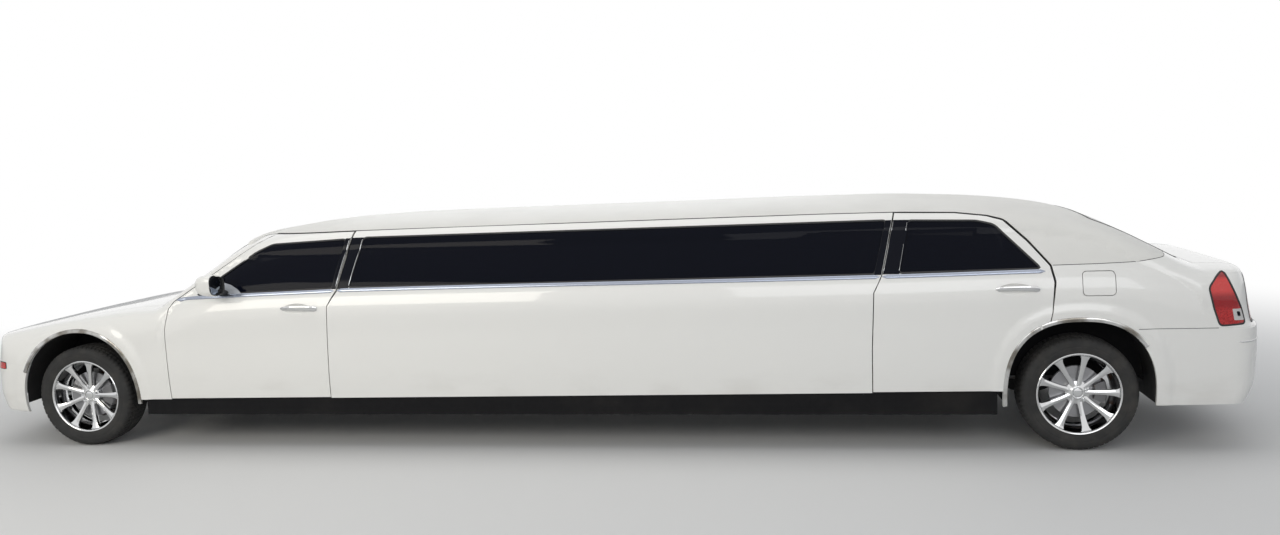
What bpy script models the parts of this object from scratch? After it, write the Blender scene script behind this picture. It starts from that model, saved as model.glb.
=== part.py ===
"""Stretch limousine: a large sedan lengthened between its doors, as separate panels, doors, wheels and seats.

Metres. +X runs to the tail, +Y to the car's right, +Z up, and the tyres stand on z = 0. The outer form of the body
is what three lofted forms have in common: the flanks, the top line and the rounded nose and tail. The same forms, set
in by the thickness of a wall, hollow it, and each panel is the piece of that shell inside its own outline.
"""

import math

import bmesh
import bpy
from mathutils import Matrix, Vector

for old in list(bpy.data.objects):
    bpy.data.objects.remove(old, do_unlink=True)

# Driving dimensions of the car
WHEELBASE = 6.85
FRONT_OVERHANG = 0.865
REAR_OVERHANG = 1.155
BODY_WIDTH = 1.88
FRONT = FRONT_OVERHANG - (FRONT_OVERHANG + WHEELBASE + REAR_OVERHANG) / 2  # x of the front axle
REAR = FRONT + WHEELBASE  # x of the rear axle
HALF_WIDTH = BODY_WIDTH / 2

# Walls and gaps
DOOR_WALL = 0.065
FRAME_WALL = 0.035
LID_WALL = 0.032
BUMPER_WALL = 0.05
GLASS_DEPTH = 0.003
GLASS_THICKNESS = 0.006
DOOR_GAP = 0.006
SWING_GAP = 0.008
SHUT_LEAN = 0.014
SWING_ABOVE = 1.05
LID_GAP = 0.007
SEAM = 0.0003

# Wheels
TYRE_RADIUS = 0.3635
TYRE_WIDTH = 0.240
SIDEWALL = 0.1015
RIM_RADIUS = TYRE_RADIUS - SIDEWALL
BEAD_RADIUS = RIM_RADIUS - 0.022
TRACK = 1.57
HALF_TRACK = TRACK / 2
SPOKES = 9
SPOKE_START = math.radians(9)
HUB_FACE = 0.012
KINGPIN_Y = HALF_TRACK - 0.045

# Wheel arches
ARCH_HALF = TYRE_RADIUS + 0.0815
ARCH_TOP = 2 * TYRE_RADIUS + 0.108
ARCH_SQUARE_FRONT = 2.1
ARCH_SQUARE_REAR = 2.4

# Lines of the body
BELT_LEAN = 0.36
BELT_BOW = 0.24
SKIRT_BOTTOM = 0.24
BONNET_HALF = HALF_WIDTH - 0.24
LID_HALF = HALF_WIDTH - 0.34
LAMP_INNER = HALF_WIDTH - 0.47
OUTSIDE = HALF_WIDTH + 0.36
INSIDE = HALF_WIDTH - 0.49
BUMPER_TOP_FRONT = 0.60
BUMPER_TOP_REAR = 0.783
COWL_X = FRONT + 0.565
LID_X = REAR + 0.745

GROUND_CLEARANCE = 0.20
FLOOR_TOP = 0.31


def curve_through(rows):
    """A smooth curve through (x, value) rows that never swings past them."""
    xs, values = zip(*rows)
    steps = [(values[i + 1] - values[i]) / (xs[i + 1] - xs[i]) for i in range(len(xs) - 1)]
    slopes = [steps[0]]
    for before, after in zip(steps, steps[1:]):
        slopes.append(2 * before * after / (before + after) if before * after > 0 else 0)
    slopes.append(steps[-1])

    def value(x):
        x = min(max(x, xs[0]), xs[-1])
        i = next((k for k in range(len(steps)) if x <= xs[k + 1]), len(steps) - 1)
        span = xs[i + 1] - xs[i]
        t = (x - xs[i]) / span
        start = (1 + 2 * t) * (1 - t) ** 2 * values[i] + t * (1 - t) ** 2 * span * slopes[i]
        end = t * t * (3 - 2 * t) * values[i + 1] - t * t * (1 - t) * span * slopes[i + 1]
        return start + end

    return value


# The top line of the car: x, height at the middle, how far the crown is wider than half the body, drop, squareness
TOP_ROWS = (
    (FRONT - 1.00, 0.680, 0.01, 0.12, 4.0),
    (FRONT - 0.865, 0.735, 0.01, 0.12, 4.0),
    (FRONT - 0.82, 0.765, 0.01, 0.12, 4.0),
    (FRONT - 0.70, 0.795, 0.01, 0.12, 4.0),
    (FRONT - 0.50, 0.834, 0.01, 0.12, 4.0),
    (FRONT - 0.18, 0.893, 0.01, 0.12, 4.0),
    (FRONT + 0.17, 0.948, 0.01, 0.12, 4.0),
    (FRONT + 0.42, 0.985, 0.01, 0.12, 4.0),
    (FRONT + 0.565, 1.006, 0.01, 0.12, 4.0),
    (FRONT + 0.60, 1.022, 0.00, 0.12, 3.8),
    (FRONT + 0.76, 1.140, -0.06, 0.13, 3.2),
    (FRONT + 0.96, 1.288, -0.12, 0.14, 2.8),
    (FRONT + 1.16, 1.432, -0.17, 0.15, 2.6),
    (FRONT + 1.24, 1.472, -0.18, 0.15, 2.5),
    (FRONT + 1.38, 1.508, -0.18, 0.15, 2.5),
    (FRONT + 1.60, 1.536, -0.18, 0.15, 2.5),
    (FRONT + 1.90, 1.558, -0.18, 0.16, 2.5),
    (FRONT + 2.40, 1.575, -0.18, 0.16, 2.5),
    (REAR - 2.60, 1.593, -0.18, 0.16, 2.5),
    (REAR - 1.58, 1.603, -0.18, 0.16, 2.5),
    (REAR - 1.20, 1.603, -0.18, 0.16, 2.5),
    (REAR - 0.64, 1.582, -0.18, 0.16, 2.5),
    (REAR - 0.33, 1.556, -0.17, 0.16, 2.5),
    (REAR - 0.06, 1.516, -0.16, 0.16, 2.6),
    (REAR + 0.12, 1.468, -0.14, 0.16, 2.7),
    (REAR + 0.30, 1.388, -0.10, 0.16, 2.9),
    (REAR + 0.50, 1.277, -0.06, 0.15, 3.2),
    (REAR + 0.68, 1.176, -0.02, 0.13, 3.6),
    (REAR + 0.745, 1.152, 0.00, 0.12, 4.0),
    (REAR + 0.86, 1.150, 0.01, 0.12, 4.0),
    (REAR + 0.97, 1.142, 0.01, 0.12, 4.0),
    (REAR + 1.03, 1.120, 0.01, 0.12, 4.0),
    (REAR + 1.30, 1.000, 0.01, 0.12, 4.0),
)
top_height, crown_spare, crown_drop, crown_power = (
    curve_through([(row[0], row[i]) for row in TOP_ROWS]) for i in (1, 2, 3, 4)
)


def crown_half(x):
    return HALF_WIDTH + crown_spare(x)



# The belt line, where the flank turns in to the windows: x, height
belt = curve_through((
    (FRONT - 1.00, 0.720), (FRONT - 0.60, 0.795), (FRONT - 0.18, 0.865), (FRONT + 0.20, 0.922),
    (FRONT + 0.565, 0.985), (FRONT + 0.85, 1.055), (FRONT + 1.50, 1.095), (FRONT + 2.40, 1.112),
    (REAR - 1.20, 1.138), (REAR - 0.20, 1.152), (REAR + 0.40, 1.150), (REAR + 1.20, 1.090),
))

# Half-width of the body: x, value
half_width = curve_through((
    (FRONT - 1.00, HALF_WIDTH - 0.020), (FRONT - 0.40, HALF_WIDTH - 0.004), (FRONT, HALF_WIDTH),
    (REAR, HALF_WIDTH), (REAR + 0.50, HALF_WIDTH - 0.004), (REAR + 1.30, HALF_WIDTH - 0.030),
))
FLANK_STATIONS = [FRONT + d for d in (-1.0, -0.6, -0.38, -0.18, 0.0, 0.2, 0.4, 0.565, 0.7, 0.85, 1.1, 1.5, 2.4)] + [
    REAR + d for d in (-2.6, -1.2, -0.6, -0.2, 0.1, 0.4, 0.6, 0.8, 1.0, 1.3)
]

# Nose and tail at the middle of the car: height, how far they fall short of the overhang
NOSE_ROWS = (
    (0.05, 0.085), (0.22, 0.065), (0.30, 0.027), (0.42, 0.0), (0.56, 0.0), (0.64, 0.013), (0.72, 0.027),
    (0.80, 0.045), (1.80, 0.265),
)
TAIL_ROWS = (
    (0.05, 0.135), (0.24, 0.095), (0.31, 0.055), (0.45, 0.007), (0.64, 0.0), (0.775, 0.005), (0.795, 0.030),
    (0.90, 0.055), (1.04, 0.080), (1.15, 0.120), (1.80, 0.255),
)
NOSE_DEPTH = 0.50
TAIL_DEPTH = 0.36
CORNER_SQUARE = 3.0
CORNER_POINTS = 8


def link(name, mesh):
    obj = bpy.data.objects.new(name, mesh)
    bpy.context.scene.collection.objects.link(obj)
    return obj


def from_bmesh(bm, name):
    bmesh.ops.recalc_face_normals(bm, faces=bm.faces)
    bmesh.ops.triangulate(bm, faces=bm.faces)
    mesh = bpy.data.meshes.new(name)
    bm.to_mesh(mesh)
    bm.free()
    return link(name, mesh)


def loft(rings, name="form"):
    """A closed body through rings of points, each with as many points, capped at both ends."""
    bm = bmesh.new()
    loops = [[bm.verts.new(p) for p in ring] for ring in rings]
    for low, high in zip(loops, loops[1:]):
        for i in range(len(low)):
            j = (i + 1) % len(low)
            bm.faces.new((low[i], low[j], high[j], high[i]))
    bm.faces.new(loops[0])
    bm.faces.new(loops[-1])
    return from_bmesh(bm, name)


def prism(outline, axis, low, high, name="cutter"):
    """An outline pushed along an axis: (x, z) points along y, (x, y) points along z, or (y, z) points along x."""
    place = {
        "x": lambda a, b, c: (c, a, b),
        "y": lambda a, b, c: (a, c, b),
        "z": lambda a, b, c: (a, b, c),
    }[axis]
    return loft([[place(a, b, c) for a, b in outline] for c in (low, high)], name)


def box(low, high, name="box"):
    outline = [(low[0], low[1]), (high[0], low[1]), (high[0], high[1]), (low[0], high[1])]
    return prism(outline, "z", low[2], high[2], name)


def tube(start, end, radius, sides=16, name="tube"):
    """A round bar between two points."""
    start, end = Vector(start), Vector(end)
    along = end - start
    turn = along.to_track_quat("Z", "Y").to_matrix()
    ring = [Vector((radius * math.cos(a), radius * math.sin(a), 0)) for a in angles(sides)]
    return loft([[tuple(turn @ p + end_point) for p in ring] for end_point in (start, end)], name)


def angles(count, start=0.0):
    return [start + 2 * math.pi * i / count for i in range(count)]


def turned(profile, centre, sides, name="turned"):
    """A closed profile of (distance along y, radius) points, turned about an axis along Y."""
    bm = bmesh.new()
    rings = []
    for a in angles(sides, math.pi / 2 - math.pi / sides):
        rings.append([
            bm.verts.new((centre[0] + r * math.cos(a), centre[1] + y, centre[2] + r * math.sin(a))) for y, r in profile
        ])
    for i, ring in enumerate(rings):
        following = rings[(i + 1) % sides]
        for j in range(len(profile)):
            k = (j + 1) % len(profile)
            bm.faces.new((ring[j], ring[k], following[k], following[j]))
    return from_bmesh(bm, name)


def combine(obj, others, operation):
    """Cuts, joins or intersects an object with others, which are used up."""
    for other in others:
        modifier = obj.modifiers.new(operation.lower(), "BOOLEAN")
        modifier.operation = operation
        modifier.object = other
    graph = bpy.context.evaluated_depsgraph_get()
    mesh = bpy.data.meshes.new_from_object(obj.evaluated_get(graph))
    obj.modifiers.clear()
    obj.data = mesh
    for other in others:
        bpy.data.objects.remove(other, do_unlink=True)
    return obj


def cut(obj, *others):
    return combine(obj, others, "DIFFERENCE")


def join(obj, *others):
    return combine(obj, others, "UNION")


def common(obj, *others):
    return combine(obj, others, "INTERSECT")


def duplicate(obj):
    return link(obj.name, obj.data.copy())


def mirrored(obj):
    """The same shape on the other side of the car."""
    bm = bmesh.new()
    bm.from_mesh(obj.data)
    bmesh.ops.scale(bm, vec=(1, -1, 1), verts=bm.verts)
    bmesh.ops.reverse_faces(bm, faces=bm.faces)
    mesh = bpy.data.meshes.new(obj.name)
    bm.to_mesh(mesh)
    bm.free()
    return link(obj.name, mesh)


def grown(outline, distance):
    """An outline with each side moved outwards by a distance, or inwards where it is negative."""
    count = len(outline)
    area = sum(
        outline[i][0] * outline[(i + 1) % count][1] - outline[(i + 1) % count][0] * outline[i][1]
        for i in range(count)
    )
    side = distance if area > 0 else -distance
    points = []
    for i in range(count):
        before, here, after = (Vector(outline[(i + k) % count]) for k in (-1, 0, 1))
        first = (here - before).normalized()
        second = (after - here).normalized()
        normals = Vector((first.y, -first.x)) + Vector((second.y, -second.x))
        points.append(tuple(here + normals * (2 * side / normals.length_squared)))
    return points


def rounded(outline, radius, steps=3):
    """An outline with each corner cut back by a distance and rounded."""
    points = []
    count = len(outline)
    for i in range(count):
        before, here, after = (Vector(outline[(i + k) % count]) for k in (-1, 0, 1))
        reach = min(radius, (here - before).length * 0.45, (after - here).length * 0.45)
        start = here + (before - here).normalized() * reach
        end = here + (after - here).normalized() * reach
        for k in range(steps + 1):
            t = k / steps
            points.append(tuple(start * (1 - t) ** 2 + here * 2 * t * (1 - t) + end * t * t))
    return points


# The outer form
def flank_side(x, z):
    """How far the flank stands out above the belt line."""
    rise = z - belt(x)
    return half_width(x) - 0.055 - BELT_LEAN * rise - BELT_BOW * rise * rise


def flank_section(x, inset, frame_inset, bottom):
    """Half of a cross-section of the flanks, from the bottom up, as (y, z) points."""
    width, line = half_width(x), belt(x)
    low = [
        (width - 0.110, bottom), (width - 0.030, 0.27), (width - 0.010, 0.38), (width, 0.56),
        (width - 0.003, 0.72), (width - 0.012, line - 0.15), (width - 0.030, line - 0.055), (width - 0.055, line),
    ]
    low[4] = (low[4][0], min(0.72, (0.56 + low[5][1]) / 2))
    high = [(flank_side(x, line + rise), line + rise) for rise in (0.09, 0.18, 0.27, 0.36, 0.48, 0.70)]
    return [(y - inset, z) for y, z in low] + [(y - frame_inset, z) for y, z in high]


def flanks(inset, frame_inset, bottom, coarse):
    rings = []
    for x in FLANK_STATIONS[:: 2 if coarse else 1]:
        half = flank_section(x, inset, frame_inset, bottom)
        rings.append([(x, -y, z) for y, z in half] + [(x, y, z) for y, z in reversed(half)])
    return loft(rings, "flanks")


def top_at(x, y):
    """Height of the top line at a place in plan."""
    reach = min(1.0, abs(y) / crown_half(x))
    power = crown_power(x)
    return top_height(x) - crown_drop(x) * (1 - (1 - reach**power) ** (1 / power))


def top_line(lowered, coarse):
    shares = (0.0, 0.42, 0.74, 0.93, 1.0) if coarse else (0.0, 0.25, 0.50, 0.68, 0.81, 0.90, 0.96, 1.0)
    rings = []
    for row in TOP_ROWS:
        x = row[0]
        half = [(share * crown_half(x), top_at(x, share * crown_half(x)) - lowered) for share in shares]
        half += [(HALF_WIDTH + 0.21, half[-1][1]), (HALF_WIDTH + 0.21, -0.1)]
        rings.append([(x, -y, z) for y, z in reversed(half[1:])] + [(x, y, z) for y, z in half])
    return loft(rings, "top")


def plan_corner(end, depth, direction, half):
    """A quarter of the plan outline, from the middle of the nose or tail round to the flank."""
    points = []
    for i in range(CORNER_POINTS):
        a = (math.pi / 2) * (i / (CORNER_POINTS - 1)) ** 0.8
        y = half * math.sin(a) ** (2 / CORNER_SQUARE)
        back = depth * (1 - max(0.0, math.cos(a)) ** (2 / CORNER_SQUARE))
        points.append((end - direction * back, y))
    return points


def ends(inset):
    nose, tail = curve_through(NOSE_ROWS), curve_through(TAIL_ROWS)
    half = HALF_WIDTH + 0.012 - inset
    heights = sorted({row[0] for row in NOSE_ROWS} | {row[0] for row in TAIL_ROWS})
    rings = []
    for z in heights:
        front = plan_corner(FRONT - FRONT_OVERHANG + nose(z) + inset, NOSE_DEPTH, -1, half)
        rear = plan_corner(REAR + REAR_OVERHANG - tail(z) - inset, TAIL_DEPTH, 1, half)
        right = front[1:] + list(reversed(rear))
        left = rear[1:] + list(reversed(front))
        rings.append([(x, y, z) for x, y in right] + [(x, -y, z) for x, y in left])
    return loft(rings, "ends")


def body_form(inset, frame_inset, lowered, end_inset, bottom, coarse=False):
    """The outer form of the body, or the hollow inside it, which has fewer faces."""
    return common(flanks(inset, frame_inset, bottom, coarse), top_line(lowered, coarse), ends(end_inset))


def shell_between(outer, inner):
    return cut(body_form(*outer), body_form(*inner))


shell = shell_between(
    (0, 0, 0, 0, GROUND_CLEARANCE), (DOOR_WALL, FRAME_WALL, LID_WALL, BUMPER_WALL, GROUND_CLEARANCE - 0.12, True)
)
pane = GLASS_DEPTH + GLASS_THICKNESS
glass_shell = shell_between((GLASS_DEPTH,) * 4 + (GROUND_CLEARANCE,), (pane,) * 4 + (GROUND_CLEARANCE - 0.1,))

# Outlines seen from the side, as (x, z) points
SKIRT_FRONT = 0.350
SKIRT_REAR = 0.390


def skirt(x):
    """Height of the lower edge of the white panels, which rises a little to the rear."""
    share = (x - FRONT - ARCH_HALF) / (WHEELBASE - 2 * ARCH_HALF)
    return SKIRT_FRONT + (SKIRT_REAR - SKIRT_FRONT) * share


DRIP_ROWS = (
    (FRONT + 1.405, 1.4835), (FRONT + 2.05, 1.4970), (FRONT + 2.40, 1.5010), (REAR - 2.60, 1.5180),
    (REAR - 1.58, 1.5260), (REAR - 1.08, 1.5255), (REAR - 0.73, 1.5150), (REAR - 0.53, 1.4920), (REAR - 0.43, 1.4660),
)


def along(rows, x):
    """Height of a line of straight runs at x."""
    for (x0, z0), (x1, z1) in zip(rows, rows[1:]):
        if x <= x1:
            return z0 + (z1 - z0) * (x - x0) / (x1 - x0)
    return rows[-1][1]


front_door_outline = [
    (FRONT + 0.705, skirt(FRONT + 0.705) + DOOR_GAP), (FRONT + 0.700, 0.60), (FRONT + 0.692, 0.85),
    (FRONT + 0.712, 0.99), (FRONT + 0.745, 1.040), (FRONT + 1.395, 1.4765), (FRONT + 2.040, 1.4900),
    (FRONT + 1.965, 1.105), (FRONT + 1.905, 1.000), (FRONT + 1.895, skirt(FRONT + 1.895) + DOOR_GAP),
]
front_window_outline = [
    (FRONT + 0.915, 1.086), (FRONT + 1.10, 1.212), (FRONT + 1.33, 1.366), (FRONT + 1.45, 1.420),
    (FRONT + 2.002, 1.444), (FRONT + 1.940, 1.118),
]
middle_window_outline = [
    (FRONT + 2.055, 1.122), (FRONT + 2.125, 1.452), (REAR - 1.160, 1.478), (REAR - 1.245, 1.146),
]
rear_door_outline = [
    (REAR - 1.270, skirt(REAR - 1.27) + DOOR_GAP), (REAR - 1.270, 0.66), (REAR - 1.255, 1.030),
    (REAR - 1.200, 1.140), (REAR - 1.108, 1.5185), (REAR - 0.730, 1.5080), (REAR - 0.535, 1.4850),
    (REAR - 0.440, 1.4580), (REAR - 0.305, 1.3280), (REAR - 0.180, 1.1780), (REAR - 0.160, 1.0800),
    (REAR - 0.175, 0.9000), (REAR - 0.220, 0.7000), (REAR - 0.330, skirt(REAR - 0.33) + DOOR_GAP),
]
rear_window_side_outline = [
    (REAR - 1.100, 1.150), (REAR - 1.030, 1.474), (REAR - 0.600, 1.462), (REAR - 0.495, 1.436),
    (REAR - 0.230, 1.163),
]
roof_outline = [
    (FRONT + 1.20, 1.75), (FRONT + 1.20, 1.4550), *DRIP_ROWS, (REAR - 0.290, 1.3330), (REAR - 0.165, 1.1810),
    (REAR + 0.120, 1.1850), (REAR + 0.340, 1.1910), (REAR + 0.500, 1.2150), (REAR + 0.620, 1.2600),
    (REAR + 0.620, 1.75),
]


def arch(axle, square, grow=0.0):
    """The outline of a wheel arch, a squared ellipse that runs out below the body."""
    half, rise = ARCH_HALF + grow, ARCH_TOP - TYRE_RADIUS + grow
    points = [(axle + half, 0.05), (axle - half, 0.05)]
    for i in range(17):
        a = math.pi * (1 - i / 16)
        x = math.copysign(abs(math.cos(a)) ** (2 / square), math.cos(a))
        points.append((axle + half * x, TYRE_RADIUS + rise * math.sin(a) ** (2 / square)))
    return points


def side_prism(outline, low=-OUTSIDE, high=-INSIDE):
    return prism(outline, "y", low, high)


def arch_cutters():
    return [
        side_prism(arch(FRONT, ARCH_SQUARE_FRONT)),
        side_prism(arch(REAR, ARCH_SQUARE_REAR)),
    ]


def middle_of(outline):
    return (min(x for x, z in outline) + max(x for x, z in outline)) / 2


def door_opening(outline):
    """The hole a door needs: a gap all round, and more behind its window, where it swings back as it opens."""
    middle = middle_of(outline)
    return [
        (x + SWING_GAP if x > middle and z > SWING_ABOVE else x, z) for x, z in grown(outline, DOOR_GAP)
    ]


def door_cutters():
    return [side_prism(door_opening(front_door_outline)), side_prism(door_opening(rear_door_outline))]


def door_block(outline):
    """A door's outline pushed through the wall, with a shut face that leans forward towards the cabin."""
    middle = middle_of(outline)
    rings = []
    for y, shift in ((-OUTSIDE, 0), (-HALF_WIDTH, 0), (0.14 - HALF_WIDTH, SHUT_LEAN), (-INSIDE, SHUT_LEAN)):
        rings.append([(x - shift if x > middle and z < SWING_ABOVE else x, y, z) for x, z in outline])
    return loft(rings, "cutter")


# Materials: name, base colour, roughness, metallic
MATERIAL_ROWS = (
    ("white_paint", (0.90, 0.90, 0.88), 0.25, 0.0),
    ("white_vinyl", (0.86, 0.86, 0.83), 0.55, 0.0),
    ("tinted_glass", (0.012, 0.013, 0.020), 0.05, 0.0),
    ("chrome", (0.80, 0.80, 0.80), 0.08, 1.0),
    ("tyre_rubber", (0.018, 0.018, 0.018), 0.85, 0.0),
    ("black_plastic", (0.02, 0.02, 0.02), 0.60, 0.0),
    ("lamp_red", (0.50, 0.01, 0.01), 0.15, 0.0),
    ("lamp_clear", (0.75, 0.77, 0.80), 0.10, 0.0),
    ("cast_metal", (0.20, 0.20, 0.21), 0.55, 0.8),
    ("grey_leather", (0.06, 0.06, 0.065), 0.50, 0.0),
)


def make_material(name, colour, roughness, metallic):
    material = bpy.data.materials.new(name)
    material.use_nodes = True
    shader = material.node_tree.nodes["Principled BSDF"]
    shader.inputs["Base Color"].default_value = (*colour, 1)
    shader.inputs["Roughness"].default_value = roughness
    shader.inputs["Metallic"].default_value = metallic
    return material


materials = {row[0]: make_material(*row) for row in MATERIAL_ROWS}


def finish(obj, name, material, carrier=None):
    """Names a finished piece, gives it its own copy of a material and hangs it on its joint's empty."""
    obj.name = name
    obj.data.name = name
    obj.data.materials.clear()
    own = materials[material].copy()
    own.name = f"{name}_{material}"
    obj.data.materials.append(own)
    obj.data.shade_smooth()
    obj.data.set_sharp_from_angle(angle=math.radians(30))
    if carrier:
        obj.parent = carrier
        obj.matrix_parent_inverse = Matrix.Translation(-carrier.matrix_world.translation)
    return obj


def pivot(name, place, carrier=None):
    """An empty on a joint's axis, which the moving pieces hang on."""
    empty = bpy.data.objects.new(name, None)
    bpy.context.scene.collection.objects.link(empty)
    empty.location = place
    bpy.context.view_layer.update()
    if carrier:
        empty.parent = carrier
        empty.matrix_parent_inverse = Matrix.Translation(-carrier.matrix_world.translation)
    return empty


def pair(obj, name, material):
    """A fixed piece and its mirror image."""
    other = mirrored(obj)
    finish(obj, f"{name}_left", material)
    finish(other, f"{name}_right", material)


LEAF_HEIGHT = 0.06


def hinge_leaves(outline, heights, y):
    """Two flat leaves that fill a door's gap to the post it hangs on, but for a seam."""
    front_edge = [(z, x) for x, z in outline[:4]]
    leaves = []
    for z in heights:
        edge = max(along(front_edge, z), along(front_edge, z + LEAF_HEIGHT))
        leaves.append(box((edge - DOOR_GAP + SEAM, y, z), (edge + 0.02, y + 0.03, z + LEAF_HEIGHT)))
    return leaves


# Doors and their glass: name, outline, window, x of the hinge
DOOR_ROWS = (
    ("front_door", front_door_outline, front_window_outline, FRONT + 0.700),
    ("rear_door", rear_door_outline, rear_window_side_outline, REAR - 1.270),
)
LEAF_HEIGHTS = (0.50, 0.74)
WINDOW_ROUND = 0.025
hinges = {}
for name, outline, window, hinge_x in DOOR_ROWS:
    door = common(duplicate(shell), door_block(outline))
    door = cut(door, side_prism(rounded(window, WINDOW_ROUND)), *arch_cutters())
    door = join(door, *hinge_leaves(outline, LEAF_HEIGHTS, -HALF_WIDTH + 0.025))
    glass = common(duplicate(glass_shell), side_prism(grown(rounded(window, WINDOW_ROUND), -SEAM)))
    other_door, other_glass = mirrored(door), mirrored(glass)
    for side, direction, panel, pane_piece in (("left", -1, door, glass), ("right", 1, other_door, other_glass)):
        hinge = pivot(f"{name}_{side}_hinge", (hinge_x, direction * HALF_WIDTH, 0.7))
        hinges[f"{name}_{side}"] = hinge
        finish(panel, f"{name}_{side}", "white_paint", hinge)
        finish(pane_piece, f"{name}_glass_{side}", "tinted_glass", hinge)

# Middle panels and their long windows
middle_outline = [
    (FRONT + 1.80, skirt(FRONT + 1.80)), (FRONT + 1.80, 1.20), (FRONT + 2.00, along(DRIP_ROWS, FRONT + 2.00) - SEAM),
    *[(x, z - SEAM) for x, z in DRIP_ROWS[1:5]], (REAR - 1.116, along(DRIP_ROWS, REAR - 1.116) - SEAM),
    (REAR - 1.20, 1.160), (REAR - 1.20, skirt(REAR - 1.20)),
]
middle = common(duplicate(shell), side_prism(middle_outline))
middle = cut(middle, side_prism(rounded(middle_window_outline, WINDOW_ROUND)), *door_cutters())
pair(middle, "middle_panel", "white_paint")
middle_glass = common(duplicate(glass_shell), side_prism(grown(rounded(middle_window_outline, WINDOW_ROUND), -SEAM)))
pair(middle_glass, "middle_glass", "tinted_glass")


# Roof with its sails, windscreen frame, windscreen and rear window
windscreen_half = [
    (FRONT + 0.612, 0.0), (FRONT + 0.622, 0.25), (FRONT + 0.655, 0.48), (FRONT + 0.735, HALF_WIDTH - 0.235),
    (FRONT + 1.175, HALF_WIDTH - 0.360), (FRONT + 1.150, 0.30), (FRONT + 1.140, 0.0),
]
rear_window_half = [
    (REAR + 0.700, 0.0), (REAR + 0.690, 0.40), (REAR + 0.640, HALF_WIDTH - 0.330),
    (REAR + 0.135, HALF_WIDTH - 0.380), (REAR + 0.095, 0.30), (REAR + 0.090, 0.0),
]


def both_halves(half):
    return half + [(x, -y) for x, y in reversed(half[1:-1])]


def plan_prism(outline, low, high):
    return prism(outline, "z", low, high)


roof = common(duplicate(shell), side_prism(roof_outline, -OUTSIDE, OUTSIDE))
strip = common(duplicate(shell), box((REAR + 0.45, -LID_HALF - 0.045, 1.08), (LID_X - LID_GAP, LID_HALF + 0.045, 1.35)))
roof = join(roof, strip)
roof = cut(roof, plan_prism(rounded(both_halves(rear_window_half), 0.03), 1.0, 1.8))
finish(roof, "roof", "white_vinyl")

rear_glass = common(
    duplicate(glass_shell), plan_prism(grown(rounded(both_halves(rear_window_half), 0.03), -SEAM), 1.0, 1.8)
)
finish(rear_glass, "rear_window", "tinted_glass")

COWL_LINE = [(COWL_X + LID_GAP, 1.80), (COWL_X + LID_GAP, 0.9853), (FRONT + 0.720, 1.0303), (FRONT + 0.80, 1.075)]
frame_outline = [
    *COWL_LINE, (FRONT + 1.30, 1.40), (FRONT + 1.42, 1.4700), (FRONT + 1.4035, 1.4830),
    (FRONT + 1.20 - SEAM, 1.4547), (FRONT + 1.20 - SEAM, 1.80),
]
frame = common(duplicate(shell), side_prism(frame_outline, -OUTSIDE, OUTSIDE))
frame = cut(
    frame,
    plan_prism(rounded(both_halves(windscreen_half), 0.03), 0.9, 1.8),
    side_prism(door_opening(front_door_outline)),
    side_prism(door_opening(front_door_outline), INSIDE, OUTSIDE),
)
BULKHEAD_X = COWL_X + LID_GAP + 0.004
bulkhead_half = [
    (FLOOR_TOP + SEAM, HALF_WIDTH - 0.14), (0.900, HALF_WIDTH - 0.14), (0.935, HALF_WIDTH - 0.24), (0.990, HALF_WIDTH - 0.28),
]
bulkhead_outline = [(y, z) for z, y in bulkhead_half] + [(-y, z) for z, y in reversed(bulkhead_half)]
frame = join(frame, prism(bulkhead_outline, "x", BULKHEAD_X, BULKHEAD_X + 0.03))
finish(frame, "windscreen_frame", "white_paint")
windscreen = common(
    duplicate(glass_shell), plan_prism(grown(rounded(both_halves(windscreen_half), 0.03), -SEAM), 0.9, 1.8)
)
finish(windscreen, "windscreen", "tinted_glass")

# Bonnet
NOSE_TOP = 0.757
LAMP_TOP_RISE = 0.018
bonnet_half = [(LAMP_INNER, NOSE_TOP + LID_GAP), (BONNET_HALF, NOSE_TOP + LID_GAP + LAMP_TOP_RISE), (BONNET_HALF, 1.20)]
bonnet = common(
    duplicate(shell), prism(bonnet_half + [(-y, z) for y, z in reversed(bonnet_half)], "x", FRONT - 1.0, COWL_X)
)
bonnet_hinge = pivot("bonnet_hinge", (COWL_X, 0, top_height(COWL_X)))
bonnet = join(bonnet, *[
    box((COWL_X - 0.03, y - 0.03, 0.978), (COWL_X + LID_GAP - SEAM, y + 0.03, 0.990)) for y in (-0.45, 0.45)
])
finish(bonnet, "bonnet", "white_paint", bonnet_hinge)

# Head lamps, in the corners above the bumper
lamp_outline = [
    (0.09 - HALF_WIDTH, 0.640), (-LAMP_INNER, 0.625), (-LAMP_INNER, NOSE_TOP), (-BONNET_HALF, NOSE_TOP + LAMP_TOP_RISE),
    (0.14 - HALF_WIDTH, NOSE_TOP + LAMP_TOP_RISE + 0.004),
    (0.09 - HALF_WIDTH, NOSE_TOP),
]
LAMP_BACK = FRONT - 0.52


def head_lamp_prism(grow=0.0):
    return prism(grown(lamp_outline, grow), "x", FRONT - 1.0, LAMP_BACK + grow)


head_lamp = common(duplicate(shell), head_lamp_prism())
pair(head_lamp, "head_lamp", "lamp_clear")

# Grille: a chrome frame with a lattice of bars
GRILLE_TOP = NOSE_TOP
GRILLE_BOTTOM = 0.415
GRILLE_HALF_LOW = HALF_WIDTH - 0.605
GRILLE_HALF_HIGH = HALF_WIDTH - 0.510
grille_outline = [
    (-GRILLE_HALF_LOW, GRILLE_BOTTOM), (GRILLE_HALF_LOW, GRILLE_BOTTOM),
    (GRILLE_HALF_HIGH, GRILLE_TOP), (-GRILLE_HALF_HIGH, GRILLE_TOP),
]
GRILLE_RIM = 0.035
GRILLE_BACK = FRONT - 0.70


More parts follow.
